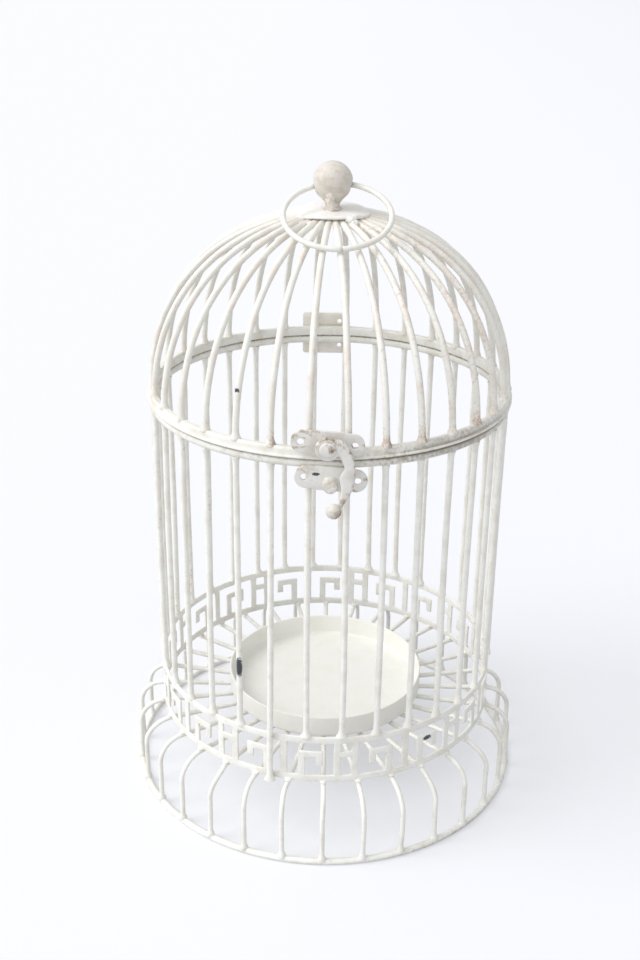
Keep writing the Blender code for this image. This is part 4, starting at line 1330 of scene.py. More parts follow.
@dataclass
class Crown:
    """The cap disc, the finial ball with its neck and the ring handle through it."""

    layout: Layout
    cap_radius: float = 14.5 * MM
    cap_bend: float = 1.35 * MM
    ball_radius: float = 7.5 * MM
    ball_height: float = 252.197 * MM
    neck_radius: float = 2.7 * MM
    hole_gap: float = 0.3 * MM
    hole_height: float = 250.697 * MM
    handle_radius: float = 19.8 * MM
    handle_shift: float = 1.9 * MM
    handle_wire: float = 1.05 * MM
    handle_tilt: float = math.radians(23.479)
    handle_wear: float = 0.12
    grip_angle: float = 2.1
    grip_wear: Bell = Bell(0.26, 0.5)
    seam_angle: float = math.radians(4.6)
    seam_width: float = 0.02
    seam_depth: float = 0.2
    seam_grime: float = 0.6
    patch_angle: float = math.radians(-3.9)
    patch_width: float = 0.1
    patch_swelling: float = 0.06
    patch_ripple: float = 0.05
    patch_ripples: int = 140
    patch_wear: float = 0.3
    # Drips of weld down the front of the neck
    drips: tuple[Blob, ...] = (
        ((-0.6, -5.9, 248.0), (1.6, 1.3, 1.6), 0.4),
        ((-0.8, -5.0, 246.0), (1.9, 1.7, 1.7), 1.7),
        ((-0.2, -4.4, 244.2), (2.0, 1.9, 1.5), 2.9),
        ((0.4, -4.2, 242.8), (2.1, 1.8, 0.9), 4.1),
    )
    # Blobs of weld at the cap's edge
    blobs: tuple[Blob, ...] = (
        ((7.0, -12.8, 240.8), (2.1, 1.6, 1.5), 0.9),
        ((8.1, -13.7, 239.7), (1.5, 1.3, 1.2), 2.2),
        ((-13.0, -8.2, 238.4), (1.6, 1.4, 0.9), 3.1),
        ((-10.6, -11.0, 238.7), (1.8, 1.3, 0.9), 4.4),
        ((-7.6, -13.2, 239.2), (1.7, 1.2, 0.8), 5.2),
        ((11.0, 10.4, 239.8), (1.6, 1.4, 0.8), 5.9),
        ((-9.0, 12.2, 239.8), (1.7, 1.3, 0.8), 0.2),
    )
    # Dents in the cap: x, y and how far they stand up, in millimetres
    dents: tuple[Triple, ...] = (
        (9.5, -9.5, 0.3),
        (-6.0, -9.0, -0.22),
        (3.0, 10.0, -0.25),
        (-10.0, 5.0, 0.2),
    )
    dent_width: float = 3 * MM
    cap_wear: float = 0.02
    cap_edge_wear: Bell = Bell(0.2, 1.2 * MM)
    cap_neck_grime: Bell = Bell(0.2, 0.8 * MM)
    ball_waviness: float = 0.06 * MM
    ball_wave: float = 2.1 * MM
    ball_rubs: tuple[Rub, ...] = ((4.5, 250.0, 3.0, 0.25), (-0.5, 246.0, 2.4, -0.2))

    def build(self) -> None:
        """Builds the cap, the ball and the handle."""
        self._cap()
        self._ball()
        self._handle()

    def _half_bow(self) -> float:
        """Gives half the rise of the handle's arc in the ball: (R - sqrt(R^2 - reach^2)) / 2."""
        reach = self.ball_radius + self.handle_shift
        return (self.handle_radius - math.sqrt(self.handle_radius**2 - reach**2)) / 2

    def _cap(self) -> None:
        """Builds the thin cap: a disc whose edges dip by the cube of x, the left one twice as far.

        Dents are bells of depth in its upper face, and the blobs of weld hang at its edge.
        """
        low, high = self.layout.cap_low, self.layout.cap_high
        edge = (high - low) / 2
        profile = np.concatenate(
            (
                [(radius * MM, low) for radius in (0.5, 4.0, 8.0, 11.0)],
                arc((self.cap_radius - edge, low + edge), edge, -90, 90, 9),
                [(radius * MM, high) for radius in (11.0, 8.0, 5.5, 4.0, 0.5)],
            )
        )
        wear = self.cap_wear + self.cap_edge_wear.at(profile[:, 0], self.cap_radius)
        grime_and_shade = self.cap_neck_grime.at(profile[:, 0], 4.2 * MM) * (profile[:, 1] > low + edge)
        surface = turned(profile, 128, wear=wear, grime_and_shade=grime_and_shade)
        share = surface.points[:, 0] / self.cap_radius
        surface.points[:, 2] -= self.cap_bend * np.abs(share) ** 3 * (1.5 - 0.5 * share)
        for x, y, depth in self.dents:
            dent = swell(surface.points[:, 0], x * MM, self.dent_width)
            dent = dent * swell(surface.points[:, 1], y * MM, self.dent_width)
            surface.points[:, 2] += depth * MM * dent * (surface.points[:, 2] > low + edge)
        surface = surface.joined(*map(weld_blob, self.blobs))
        Piece("cap_sheet", Body.LID, Slot.CAP, CAP_PAINT, "cap_disc").add(surface)

    def _ball(self) -> None:
        """Builds the ball and its flared neck by a profile, with drips, cut by the cross hole."""
        low = self.layout.cap_high - 0.05 * MM
        neck = self.neck_radius
        flare = smooth_line(
            np.array(
                [
                    (neck * 1.42, low),
                    (neck * 1.16, low + 0.45 * MM),
                    (neck, low + 1.3 * MM),
                    (neck * 1.1, low + 2.3 * MM),
                    (neck * 1.5, low + 3.7 * MM),
                ]
            ),
            14,
        )
        ball = arc((0.0, self.ball_height), self.ball_radius, -43, 88, 40)
        surface = turned(np.concatenate((flare, ball)), 96)
        angles = np.arctan2(surface.points[:, 1], surface.points[:, 0])
        lumps = self.ball_waviness * np.sin(3 * angles + surface.points[:, 2] / self.ball_wave)
        reach = 1 + lumps / np.maximum(np.hypot(surface.points[:, 0], surface.points[:, 1]), MM)
        surface.points[:, :2] *= reach[:, None]
        hole_radius = self.handle_wire + self._half_bow() + self.hole_gap
        hole = turned(np.array([(hole_radius, -12 * MM), (hole_radius, 12 * MM)]), 48)
        level = Matrix.Rotation(math.pi / 2, 4, "Y")
        hole.placed(Matrix.Translation((0, 0, self.hole_height)) @ level)
        whole = surface.joined(*map(weld_blob, self.drips))
        name = "finial_ball_cast"
        mesh = cast(name, whole, voxel=0.2 * MM, rounds=2, cutters=hole)
        rub_edges(mesh, strength=1.6, floor=0.14, spots=self.ball_rubs)
        Piece(name, Body.LID, Slot.FINIAL, FINIAL_PAINT, "finial_ball").add_mesh(mesh)

    def _handle(self) -> None:
        """Builds the ring: a circle of wire in a plane that leans to the front, with a butt seam.

        The wire's radius swells at the patch of weld and dips at the seam, each by a bell of
        the angle from it.
        """
        steps = 224
        angles = wrapped(angles_round(steps))
        dip = swell(angles, self.seam_angle, self.seam_width)
        bead = swell(angles, self.patch_angle, self.patch_width)
        ripple = self.patch_ripple * bead * np.sin(angles * self.patch_ripples)
        swelling = 1 + self.patch_swelling * bead + ripple - self.seam_depth * dip
        radii = self.handle_wire * swelling
        ring = np.linspace(0, TURN, 16, endpoint=False)
        spread = np.stack(
            (
                self.handle_radius + np.cos(ring)[:, None] * radii,
                np.sin(ring)[:, None] * radii,
            ),
            axis=-1,
        )
        wear = self.handle_wear + self.patch_wear * bead
        wear = (wear + self.grip_wear.at(angles, self.grip_angle))[None, :]
        grime_and_shade = self.seam_grime * dip[None, :]
        surface = turned(spread, steps, looped=True, wear=wear, grime_and_shade=grime_and_shade)
        surface.points[:, 0] += self.handle_shift
        surface.points[:, 1] -= self.handle_radius - self._half_bow()
        tilt = Matrix.Rotation(self.handle_tilt, 4, "X")
        surface.placed(Matrix.Translation((0, 0, self.hole_height)) @ tilt)
        piece = Piece("handle_ring_wire", Body.HANDLE, Slot.HANDLE, HANDLE_PAINT, "ring_handle")
        piece.add(surface)


@dataclass
class KeyBand:
    """The pierced band: the key pattern on a cylinder, given a wall and rounded edges."""

    layout: Layout
    columns: int = 63
    bar_width: float = 2.8 * MM
    rail_height: float = 3.0 * MM
    link_low_share: float = 0.545
    stub_low_share: float = 0.365
    seam_degrees: float = -72.8
    link_steps: int = 4
    seam_gap: float = 0.24 * MM
    rounding: float = 0.38 * MM
    # The repeat: the kind of each column of bars, and whether a link joins it to the next
    kinds: tuple[str, ...] = ("full", "stub", "post", "full", "post", "stub", "full")
    links: tuple[bool, ...] = (False, True, False, False, True, False, True)
    # The rows that each kind fills, counted from below
    filled: dict[str, tuple[int, ...]] = field(
        default_factory=lambda: {
            "full": (0, 1, 2, 3, 4, 5),
            "post": (0, 1, 2, 3, 5),
            "stub": (0, 2, 3, 5),
            "link": (0, 3, 5),
            "open": (0, 5),
        }
    )

    def build(self) -> None:
        """Builds the front and back strips, cut from one round pattern at two seams."""
        half_bar = self.bar_width / 2 / self.layout.band_outer
        half_seam = self.seam_gap / 2 / self.layout.band_outer
        middle = math.pi + half_bar
        for name, node, start, end in (
            ("band_front_sheet", "band_front_strip", half_seam, middle - half_seam),
            ("band_back_sheet", "band_back_strip", middle + half_seam, TURN - half_seam),
        ):
            self._strip(name, node, start, end)

    def _strip(self, name: str, node: str, start: float, end: float) -> None:
        """Builds one strip: quads between angle lines and row lines, a wall, and rounded edges.

        Args:
            name: the piece's name.
            node: the CAD node that it replaces.
            start: the angle of its first edge, from the first seam.
            end: the angle of its last edge.
        """
        lines, kinds = self._columns(start, end)
        rows = self._rows()
        turned_lines = lines + math.radians(self.seam_degrees)
        outward = outward_at(turned_lines) * self.layout.band_outer
        points = outward[:, None, :] + rows[None, :, None] * np.array([0.0, 0.0, 1.0])
        index = np.arange(len(lines) * len(rows)).reshape(len(lines), len(rows))
        solid = np.zeros((len(kinds), len(rows) - 1), dtype=bool)
        for column, kind in enumerate(kinds):
            solid[column, list(self.filled[kind])] = True
        corners = (index[:-1, :-1], index[1:, :-1], index[1:, 1:], index[:-1, 1:])
        used, inverse = np.unique(np.stack(corners, axis=-1)[solid], return_inverse=True)
        mesh = bpy.data.meshes.new(name)
        places = points.reshape(-1, 3)[used]
        mesh.from_pydata(places.tolist(), [], inverse.reshape(-1, 4).tolist())
        item = linked_object(name, mesh)
        wall = item.modifiers.new("wall", "SOLIDIFY")
        wall.thickness = self.layout.band_outer - self.layout.band_inner
        wall.offset = -1
        wall.use_even_offset = True
        add_rounding(item, self.rounding, segments=3, bend=40)
        finished = shaped(item)
        rub_edges(finished, strength=2.4, floor=0.1)
        piece = Piece(name, Body.BASE, Slot.BAND, BAND_PAINT, node, crease_degrees=45.0)
        piece.add_mesh(finished)

    def _rows(self) -> np.ndarray:
        """Gives the heights of the lines between the pattern's rows.

        Returns:
            The seven heights, from below.
        """
        low, high = self.layout.band_low, self.layout.band_high
        tall = high - low
        link = tall * self.link_low_share
        stub, rail = tall * self.stub_low_share, self.rail_height
        return low + np.array((0, rail, stub, link, link + self.bar_width, tall - rail, tall))

    def _columns(self, start: float, end: float) -> tuple[np.ndarray, list[str]]:
        """Gives the angle lines of a strip and the kind of each column between them.

        Args:
            start: the angle of the strip's first edge, from the first seam.
            end: the angle of its last edge.

        Returns:
            The lines, and one kind fewer than lines.
        """
        pitch = TURN / self.columns
        half_bar = self.bar_width / 2 / self.layout.band_outer
        lines, kinds = [start], []
        for number in range(-1, self.columns):
            centre = (number + 0.5) * pitch
            turn = number % len(self.kinds)
            link = "link" if self.links[turn] else "open"
            right, next_left = centre + half_bar, centre + pitch - half_bar
            edges = [centre - half_bar, *np.linspace(right, next_left, self.link_steps)]
            parts = [self.kinds[turn]] + [link] * (self.link_steps - 1)
            for before, after, kind in zip(edges, edges[1:], parts):
                if after > start + 1e-6 and before < end - 1e-6:
                    lines.append(min(after, end))
                    kinds.append(kind)
        return np.array(lines), kinds


@dataclass
class Skirt:
    """The ground ring, the bent wires that stand on it and the weld beads at their feet."""

    layout: Layout
    ring_radius: float = 81.4 * MM
    ring_wire: float = 1.3 * MM
    wire_radius: float = 1.0 * MM
    floor_height: float = 30.3 * MM
    shoulder_start: float = 70.75 * MM
    shoulder_drop: float = 10.0 * MM
    inner_end: float = 29.95 * MM
    sway: float = 0.3 * MM
    most_inwards: float = 0.3 * MM
    most_outwards: float = 0.25 * MM
    foot_swelling: Bell = Bell(0.75, 1.3 * MM)
    plain_wear: float = 0.08
    uneven_wear: float = 0.2
    foot_wear: Bell = Bell(0.12, 3 * MM)
    shoulder_wear: Bell = Bell(0.2, 5 * MM)
    shoulder_length: float = 46 * MM
    foot_grime: Bell = Bell(0.12, 0.6 * MM)
    bead_radius: float = 1.5 * MM
    bead_half: float = 0.85 * MM
    ring_wear: float = 0.1
    ring_steps: int = 288
    scuff_and_shade_middle: float = math.radians(48)
    scuff_and_shade_width: float = 0.6
    scuff_wear: float = 0.55
    scuff_shade: float = 0.9
    rows: int = 60
    seed: int = 23

    def build(self) -> None:
        """Builds the wires, the ring and the beads under the band as one piece each."""
        rng = np.random.default_rng(self.seed)
        for name, surface in (
            ("skirt_wires", self._wires(rng)),
            ("ground_ring_wire", self._ring()),
            ("floor_weld_beads", self._beads(rng)),
        ):
            Piece(name, Body.BASE, Slot.SKIRT, SKIRT_PAINT, "skirt_frame").add(surface)

    def _wires(self, rng: np.random.Generator) -> Surface:
        """Gives the bent wires.

        They sway sideways by half a sine wave over the shoulder and by f (1 - f) on the way
        down, where f is the share of the fall, and bulge by f (1 - f).

        Args:
            rng: the source of their small bends.

        Returns:
            The wires as one surface.
        """
        lay = self.layout
        angles = lay.skirt_angles()
        profile = self._profile()
        length = length_along(profile)
        run = self.ring_radius - lay.band_outer
        outer = np.clip((profile[:, 0] - lay.band_outer) / run, 0, 1)
        sway = rng.normal(0, self.sway, (len(angles), 1)) * np.sin(math.pi * outer)
        fall = (self.floor_height - profile[:, 1]) / (self.floor_height - self.ring_wire)
        fall = np.clip(fall, 0, 1)
        sway = sway + rng.normal(0, self.sway, (len(angles), 1)) * fall * (1 - fall) * 3
        bulge = rng.normal(0, self.sway, (len(angles), 1)) * fall * (1 - fall) * 2
        spread = np.repeat(profile[None], len(angles), axis=0)
        spread[..., 0] += np.clip(bulge, -self.most_inwards, self.most_outwards)
        standing = outer > 0.5
        foot = self.foot_swelling.at(profile[:, 1], 2.4 * MM) * standing
        wear = self.foot_wear.at(profile[:, 1], 3 * MM)
        wear = wear + self.shoulder_wear.at(length, self.shoulder_length) + self.plain_wear
        wear = wear[None, :] + self.uneven_wear * rng.random((len(angles), 1)) ** 2
        return wires(
            upright_paths(spread, angles, sway),
            self.wire_radius * (1 + foot)[None, :],
            around_at(angles),
            sides=12,
            wear=wear[:, :, None],
            grime_and_shade=(self.foot_grime.at(profile[:, 1], 3.2 * MM) * standing)[:, None],
        )

    def _profile(self) -> np.ndarray:
        """Gives the wire's path: level, a quarter ellipse over the shoulder, straight down.

        Returns:
            Rows of radius and height.
        """
        run = self.ring_radius - self.shoulder_start
        floor = np.linspace(self.inner_end, self.shoulder_start, 14)[:-1]
        turns = np.linspace(0, math.pi / 2, 26)
        shoulder = np.stack(
            (
                self.shoulder_start + run * np.sin(turns),
                self.floor_height - self.shoulder_drop * (1 - np.cos(turns)),
            ),
            axis=-1,
        )
        drop = np.linspace(self.floor_height - self.shoulder_drop, 1.1 * MM, self.rows - 38)[1:]
        level = np.stack((floor, np.full(len(floor), self.floor_height)), axis=-1)
        straight = np.stack((np.full(len(drop), self.ring_radius), drop), axis=-1)
        return np.concatenate((level, shoulder, straight))

    def _ring(self) -> Surface:
        """Gives the ground ring: a circle of wire, flat underneath, worn and darkened in front.

        Low down at the front right it has brown wear and a dark layer of painted shade for the
        wire's shaded side and its contact with the floor, by a bell of the height and of the angle.

        Returns:
            The ring's surface.
        """
        ring = arc((self.ring_radius, self.ring_wire), self.ring_wire, 0, 360, 21)[:-1]
        ring[:, 1] = np.maximum(ring[:, 1], 0.0)
        angles = wrapped(angles_round(self.ring_steps))
        # Brown wear, and painted shade of the shaded side and the floor contact, low at the front
        # right
        low_outside = (ring[:, 0] > self.ring_radius) * swell(ring[:, 1], 0.0, 1.5 * MM)
        scuffed_and_shaded = low_outside[:, None] * swell(angles, self.scuff_and_shade_middle, self.scuff_and_shade_width)
        wear = self.ring_wear + self.scuff_wear * scuffed_and_shaded
        grime_and_shade = self.scuff_shade * scuffed_and_shaded
        return turned(ring, self.ring_steps, looped=True, wear=wear, grime_and_shade=grime_and_shade)

    def _beads(self, rng: np.random.Generator) -> Surface:
        """Gives small flattened beads of weld where the band stands on the floor wires.

        Each is a ball profile squeezed in height, one per wire, moved to the band's lower rail.

        Args:
            rng: the source of their sizes.

        Returns:
            The beads as one surface.
        """
        lay = self.layout
        angles = lay.skirt_angles()
        ball = arc((0.0, 0.0), 1.0, -80, 80, 9)
        centres = outward_at(angles) * (lay.band_outer - 0.2 * MM)
        centres[:, 2] = lay.band_low + 0.05 * MM
        beads = []
        for centre, size in zip(centres, rng.uniform(0.85, 1.15, len(angles))):
            bead = turned(ball * [self.bead_radius * size, self.bead_half * size], 14, wear=0.15)
            beads.append(bead.placed(Matrix.Translation(centre)))
        return beads[0].joined(*beads[1:])


@dataclass
class Dish:
    """The pressed dish on the floor wires."""

    layout: Layout
    radius: float = 41.75 * MM
    height: float = 9.8 * MM
    wall: float = 0.8 * MM
    corner: float = 2.0 * MM
    rim_wear: Bell = Bell(0.22, 0.6 * MM)
    corner_grime: Bell = Bell(0.06, 1.6 * MM)
    steps: int = 192

    def build(self) -> None:
        """Builds the dish: floor, rounded corner, upright wall and a soft rim, as one profile."""
        low = self.layout.band_low
        rim = self.wall / 2
        inner = self.corner - self.wall
        centre = (self.radius - self.corner, low + self.corner)
        profile = np.concatenate(
            (
                [(0.6 * MM, low), (20 * MM, low)],
                arc(centre, self.corner, -90, 0, 8),
                arc((self.radius - rim, low + self.height - rim), rim, 0, 180, 9),
                arc(centre, inner, 0, -90, 7),
                [(20 * MM, low + self.wall), (0.6 * MM, low + self.wall)],
            )
        )
        height = profile[:, 1]
        wear = self.rim_wear.at(height, low + self.height)
        inside_corner = (height > low + self.wall / 2) * (height < low + 3 * MM)
        grime_and_shade = self.corner_grime.at(profile[:, 0], self.radius - self.corner) * inside_corner
        surface = turned(profile, self.steps, wear=wear, grime_and_shade=grime_and_shade)
        Piece("dish_sheet", Body.BASE, Slot.DISH, DISH_PAINT, "tray").add(surface)


@dataclass
class ButtHinge:
    """The hinge at the back: two leaves with rolled knuckles on one pin."""

    layout: Layout
    width: float = 20.7 * MM
    leaf_height: float = 9.4 * MM
    sheet: float = 0.8 * MM
    knuckle_radius: float = 1.75 * MM
    knuckles: int = 5
    corner: float = 1.1 * MM
    gap: float = 0.3 * MM
    offset: float = -2.0 * MM
    axis_depth: float = 73.95 * MM
    hole_radius: float = 1.0 * MM
    hole_spacing: float = 12.0 * MM
    pin_radius: float = 0.65 * MM
    head_radius: float = 1.1 * MM

    def build(self) -> None:
        """Builds both leaves and the pin, whose profile is the same at both ends."""
        place = Matrix.Translation((self.offset, self.axis_depth, self.layout.joint_height))
        up = place @ Matrix(((0, 0, 1, 0), (1, 0, 0, 0), (0, 1, 0, 0), (0, 0, 0, 1)))
        down = place @ Matrix(((0, 0, -1, 0), (1, 0, 0, 0), (0, -1, 0, 0), (0, 0, 0, 1)))
        self._leaf("hinge_leaf_lid", Body.LID, "hinge_upper_leaf", (1, 3), up)
        self._leaf("hinge_leaf_body", Body.BASE, "hinge_lower_leaf", (0, 2, 4), down)
        end = self.width / 2 + self.gap
        half = np.array(
            [
                (self.pin_radius, end - 0.02 * MM),
                (self.head_radius, end),
                (self.head_radius, end + 0.15 * MM),
                (0.8 * MM, end + 0.5 * MM),
                (0.3 * MM, end + 0.6 * MM),
            ]
        )
        pin = turned(np.concatenate((half[::-1] * [1, -1], half)), 28, wear=0.4)
        pin.placed(place @ Matrix.Rotation(math.pi / 2, 4, "Y"))
        Piece("hinge_pin_wire", Body.BASE, Slot.FITTINGS, FITTING_PAINT, "hinge_pin").add(pin)

    def _leaf(self, name: str, body: Body, node: str, kept: tuple[int, ...], place: Matrix) -> None:
        """Builds one leaf: the sheet with its holes and the knuckles it keeps.

        Args:
            name: the piece's name.
            body: what it rides on.
            node: the CAD node that it replaces.
            kept: which knuckles it has, counted along the pin.
            place: its own X points out, Y along the leaf and Z along the pin.
        """
        radius, bore = self.knuckle_radius, self.knuckle_radius - self.sheet
        half, corner = self.width / 2, self.corner
        free = radius + self.gap
        outline = np.concatenate(
            (
                [(-half, free), (half, free)],
                arc((half - corner, self.leaf_height - corner), corner, 0, 90, 6),
                arc((corner - half, self.leaf_height - corner), corner, 90, 180, 6),
            )
        )
        sheet = plate_surface(outline, 0.0, self.sheet)
        middle = (self.leaf_height + radius) / 2
        holes = screw_holes(self.hole_radius, self.hole_spacing, middle, 24, (-MM, 2 * MM))
        flat = cut_and_rounded(name, sheet, holes, rounding=0.16 * MM)
        # The sheet's outline runs along the pin, so it is turned to stand on the leaf's back plane
        flat.transform(Matrix(((0, 0, 1, -radius), (0, 1, 0, 0), (1, 0, 0, 0), (0, 0, 0, 1))))
        step = self.width / self.knuckles
        roll = np.concatenate(
            (
                [(-radius, free + 0.3 * MM)],
                arc((0.0, 0.0), radius, 180, 460, 30),
                arc((0.0, 0.0), bore, 460, 180, 24),
                [(-bore, free + 0.3 * MM)],
            )
        )
        meshes = [flat]
        for number in kept:
            last = number == self.knuckles - 1
            low = number * step - half + (self.gap / 2 if number else 0)
            high = (number + 1) * step - half - (0 if last else self.gap / 2)
            meshes.append(self._knuckle(name, roll, low, high))
        whole = self._merged(name, meshes)
        whole.transform(place)
        rub_edges(whole, strength=0.6, floor=0.06)
        Piece(name, body, Slot.FITTINGS, HINGE_PAINT, node).add_mesh(whole)

    def _knuckle(self, name: str, roll: np.ndarray, low: float, high: float) -> bpy.types.Mesh:
        """Gives one rolled knuckle: the roll's outline carried along the pin, ends filled.

        Args:
            name: the mesh's name.
            roll: the outline, as rows of outwards and along the leaf.
            low: where it starts along the pin.
            high: where it ends.

        Returns:
            The knuckle's mesh.
        """
        count = len(roll)
        points = np.concatenate([lifted(roll, depth) for depth in (low, high)])
        index = np.arange(count)
        after = np.roll(index, -1)
        walls = np.stack((index, after, after + count, index + count), axis=-1).tolist()
        ends = [index[::-1].tolist(), (index + count).tolist()]
        mesh = bpy.data.meshes.new(name)
        mesh.from_pydata(points.tolist(), [], walls + ends)
        return mesh

    def _merged(self, name: str, meshes: list[bpy.types.Mesh]) -> bpy.types.Mesh:
        """Puts several meshes into one, side by side.

        Args:
            name: the new mesh's name.
            meshes: what goes into it.

        Returns:
            The new mesh.
        """
        points, faces, start = [], [], 0
        for mesh in meshes:
            places = np.empty(len(mesh.vertices) * 3, dtype=np.float32)
            mesh.vertices.foreach_get("co", places)
            points.append(places.reshape(-1, 3))
            faces += [[corner + start for corner in face.vertices] for face in mesh.polygons]
            start += len(mesh.vertices)
        whole = bpy.data.meshes.new(name)
        whole.from_pydata(np.concatenate(points).tolist(), [], faces)
        return whole


@dataclass
class Clasp:
    """The clasp at the front: two plates, the swing hook, its rivet and the catch stud."""

    layout: Layout
    front: float = 73.4 * MM
    thickness: float = 1.2 * MM
    length: float = 25.8 * MM
    hole_spacing: float = 18.9 * MM
    hole_radius: float = 1.3 * MM
    end_radius: float = 4.2 * MM
    middle_width: float = 11.7 * MM
    middle_height: float = 9.0 * MM
    upper: tuple[float, float] = (-0.3 * MM, 176.8 * MM)
    lower: tuple[float, float] = (1.0 * MM, 163.5 * MM)
    upper_tilt: float = math.radians(4.0)
    lower_tilt: float = math.radians(4.5)
    standoff: float = 3.6 * MM
    hook_thickness: float = 1.8 * MM
    eye_radius: float = 4.3 * MM
    shank: float = 1.2 * MM
    collar_radius: float = 2.6 * MM
    rivet_head: float = 3.0 * MM
    drop: float = 22.8 * MM
    knob_radius: float = 2.8 * MM
    knob_half_depth: float = 2.5 * MM
    knob_side_share: float = 0.105
    stud_radius: float = 2.6 * MM
    stud_drop: float = 1.8 * MM
    stud_wear: float = 0.25
    stud_edge_wear: Bell = Bell(0.3, 0.6 * MM)
    stud_foot_grime: Bell = Bell(0.2, 0.4 * MM)
    # Rubbed spots: x, z and radius in millimetres, and the wear
    upper_rubs: tuple[Rub, ...] = (
        (-12.7, 179.6, 1.5, 0.55),
        (-9.4, 182.0, 1.5, 0.55),
        (-5.6, 181.8, 1.3, 0.45),
        (-12.6, 174.9, 1.2, 0.5),
        (-8.6, 173.6, 1.1, 0.4),
        (12.6, 176.6, 1.0, 0.55),
        (2.5, 180.8, 1.6, 0.4),
        (9.6, 172.0, 1.2, 0.35),
    )
    lower_rubs: tuple[Rub, ...] = (
        (-10.9, 167.6, 1.4, 0.5),
        (-7.9, 167.9, 1.3, 0.4),
        (-8.2, 162.4, 1.2, 0.4),
        (9.2, 164.6, 1.3, 0.5),
        (13.6, 163.6, 1.0, 0.6),
        (10.2, 158.9, 1.3, 0.5),
        (-2.0, 160.0, 1.6, 0.3),
    )
    hook_rubs: tuple[Rub, ...] = (
        (3.2, 178.6, 1.5, 0.42),
        (1.6, 180.4, 1.4, 0.46),
        (-0.6, 181.0, 1.2, 0.46),
        (-2.8, 180.2, 1.3, 0.44),
        (-4.2, 177.6, 0.9, 0.35),
        (5.4, 177.8, 1.4, 0.42),
        (7.4, 175.6, 1.2, 0.46),
        (8.8, 173.3, 0.9, 0.44),
        (9.3, 170.6, 0.8, 0.44),
        (9.3, 167.4, 0.8, 0.44),
        (8.6, 163.4, 0.9, 0.46),
        (6.9, 160.4, 1.3, 0.42),
        (5.5, 157.4, 1.5, 0.52),
        (4.9, 154.2, 1.4, 0.45),
        (3.4, 151.9, 1.6, 0.42),
        (1.8, 154.0, 2.6, 0.3),
    )
    rivet_rubs: tuple[Rub, ...] = ((1.2, 177.0, 1.3, 0.6), (-0.2, 178.9, 1.1, 0.3))
    # Stations of the arm's middle line: sideways, down and width, in shares of the drop
    arm_shares: tuple[Triple, ...] = (
        (0.020, 0.010, 0.120),
        (0.114, -0.053, 0.206),
        (0.208, -0.009, 0.215),
        (0.298, 0.145, 0.184),
        (0.340, 0.320, 0.167),
        (0.307, 0.478, 0.235),
        (0.305, 0.610, 0.197),
        (0.285, 0.724, 0.145),
        (0.246, 0.829, 0.101),
        (0.206, 0.917, 0.088),
        (0.145, 0.982, 0.096),
    )

    def build(self) -> None:
        """Builds the five pieces of the clasp."""
        upper = self._place(self.upper, self.upper_tilt)
        lower = self._place(self.lower, self.lower_tilt)
        self._plate("clasp_plate_lid", Body.LID, "clasp_upper_plate", upper, self.upper_rubs)
        self._plate("clasp_plate_body", Body.BASE, "clasp_lower_plate", lower, self.lower_rubs)
        self._rivet()
        self._stud()
        self._hook()

    def _place(self, centre: tuple[float, float], tilt: float = 0.0) -> Matrix:
        """Gives a plate's front frame: X right and lowered by the tilt, Z to the front."""
        place = Matrix.Translation((centre[0], -self.front, centre[1]))
        return place @ Matrix.Rotation(tilt, 4, "Y") @ FACING_FRONT

    def _plate(
        self,
        name: str,
        body: Body,
        node: str,
        place: Matrix,
        rubs: tuple[Rub, ...],
    ) -> None:
        """Builds one plate from its outline: round ends and a taller middle, with open holes.

        Args:
            name: the piece's name.
            body: what it rides on.
            node: the CAD node that it replaces.
            place: the frame of its front face.
            rubs: its rubbed spots.
        """
        middle, tall, end = self.middle_width / 2, self.middle_height / 2, self.end_radius
        quarter = np.concatenate(
            (
                arc((self.length / 2 - end, 0.0), end, 0, 90, 13),
                [(middle + 0.7 * MM, end), (middle + 0.25 * MM, end + 0.12 * MM)],
                [(middle - 0.1 * MM, tall - 0.3 * MM), (middle - 0.4 * MM, tall), (0.0, tall)],
            )
        )
        half = np.concatenate((quarter, quarter[-2::-1] * [-1, 1]))
        outline = np.concatenate((half, half[-2:0:-1] * [1, -1]))
        holes = screw_holes(self.hole_radius, self.hole_spacing, 0.0, 28, (-3 * MM, 3 * MM))
        sheet = plate_surface(outline, -self.thickness, 0.0)
        mesh = cut_and_rounded(name, sheet, holes, rounding=0.34 * MM, segments=4)
        mesh.transform(place)
        rub_edges(mesh, strength=0.9, floor=0.14, spots=rubs)
        piece = Piece(name, body, Slot.FITTINGS, FITTING_PAINT, node, crease_degrees=50.0)
        piece.add_mesh(mesh)

    def _tail(self) -> list[tuple[float, float]]:
        """Gives the profile of a riveted tail behind a plate, up to its shank.

        Returns:
            Rows of radius and height over the plate's front face.
        """
        back = -self.thickness
        return [
            (0.3 * MM, back - 0.7 * MM),
            (1.6 * MM, back - 0.65 * MM),
            (1.9 * MM, back - 0.4 * MM),
            (1.9 * MM, back - 0.05 * MM),
            (self.shank, back),
        ]

    def _rivet(self) -> None:
        """Builds the rivet by a profile: tail, shank, collar behind the hook and a domed head."""
        collar, hook = self.collar_radius, self.standoff
        top = hook + self.hook_thickness + 0.12 * MM
        profile = np.concatenate(
            (
                self._tail(),
                [(self.shank, 0.1 * MM), (collar, 0.12 * MM), (collar, hook - 0.3 * MM)],
                [(self.shank, hook - 0.25 * MM), (self.shank, top), (collar, top + 0.02 * MM)],
                arc((0.0, 0.0), 1.0, 12, 88, 10) * [self.rivet_head, 1.25 * MM] + [0, top],
            )
        )
        name = "clasp_rivet_turned"
        mesh = turned(profile, 48).placed(self._place(self.upper)).mesh(name)
        rub_edges(mesh, strength=0.6, floor=0.24, spots=self.rivet_rubs)
        Piece(name, Body.LID, Slot.FITTINGS, FITTING_PAINT, "clasp_rivet").add_mesh(mesh)

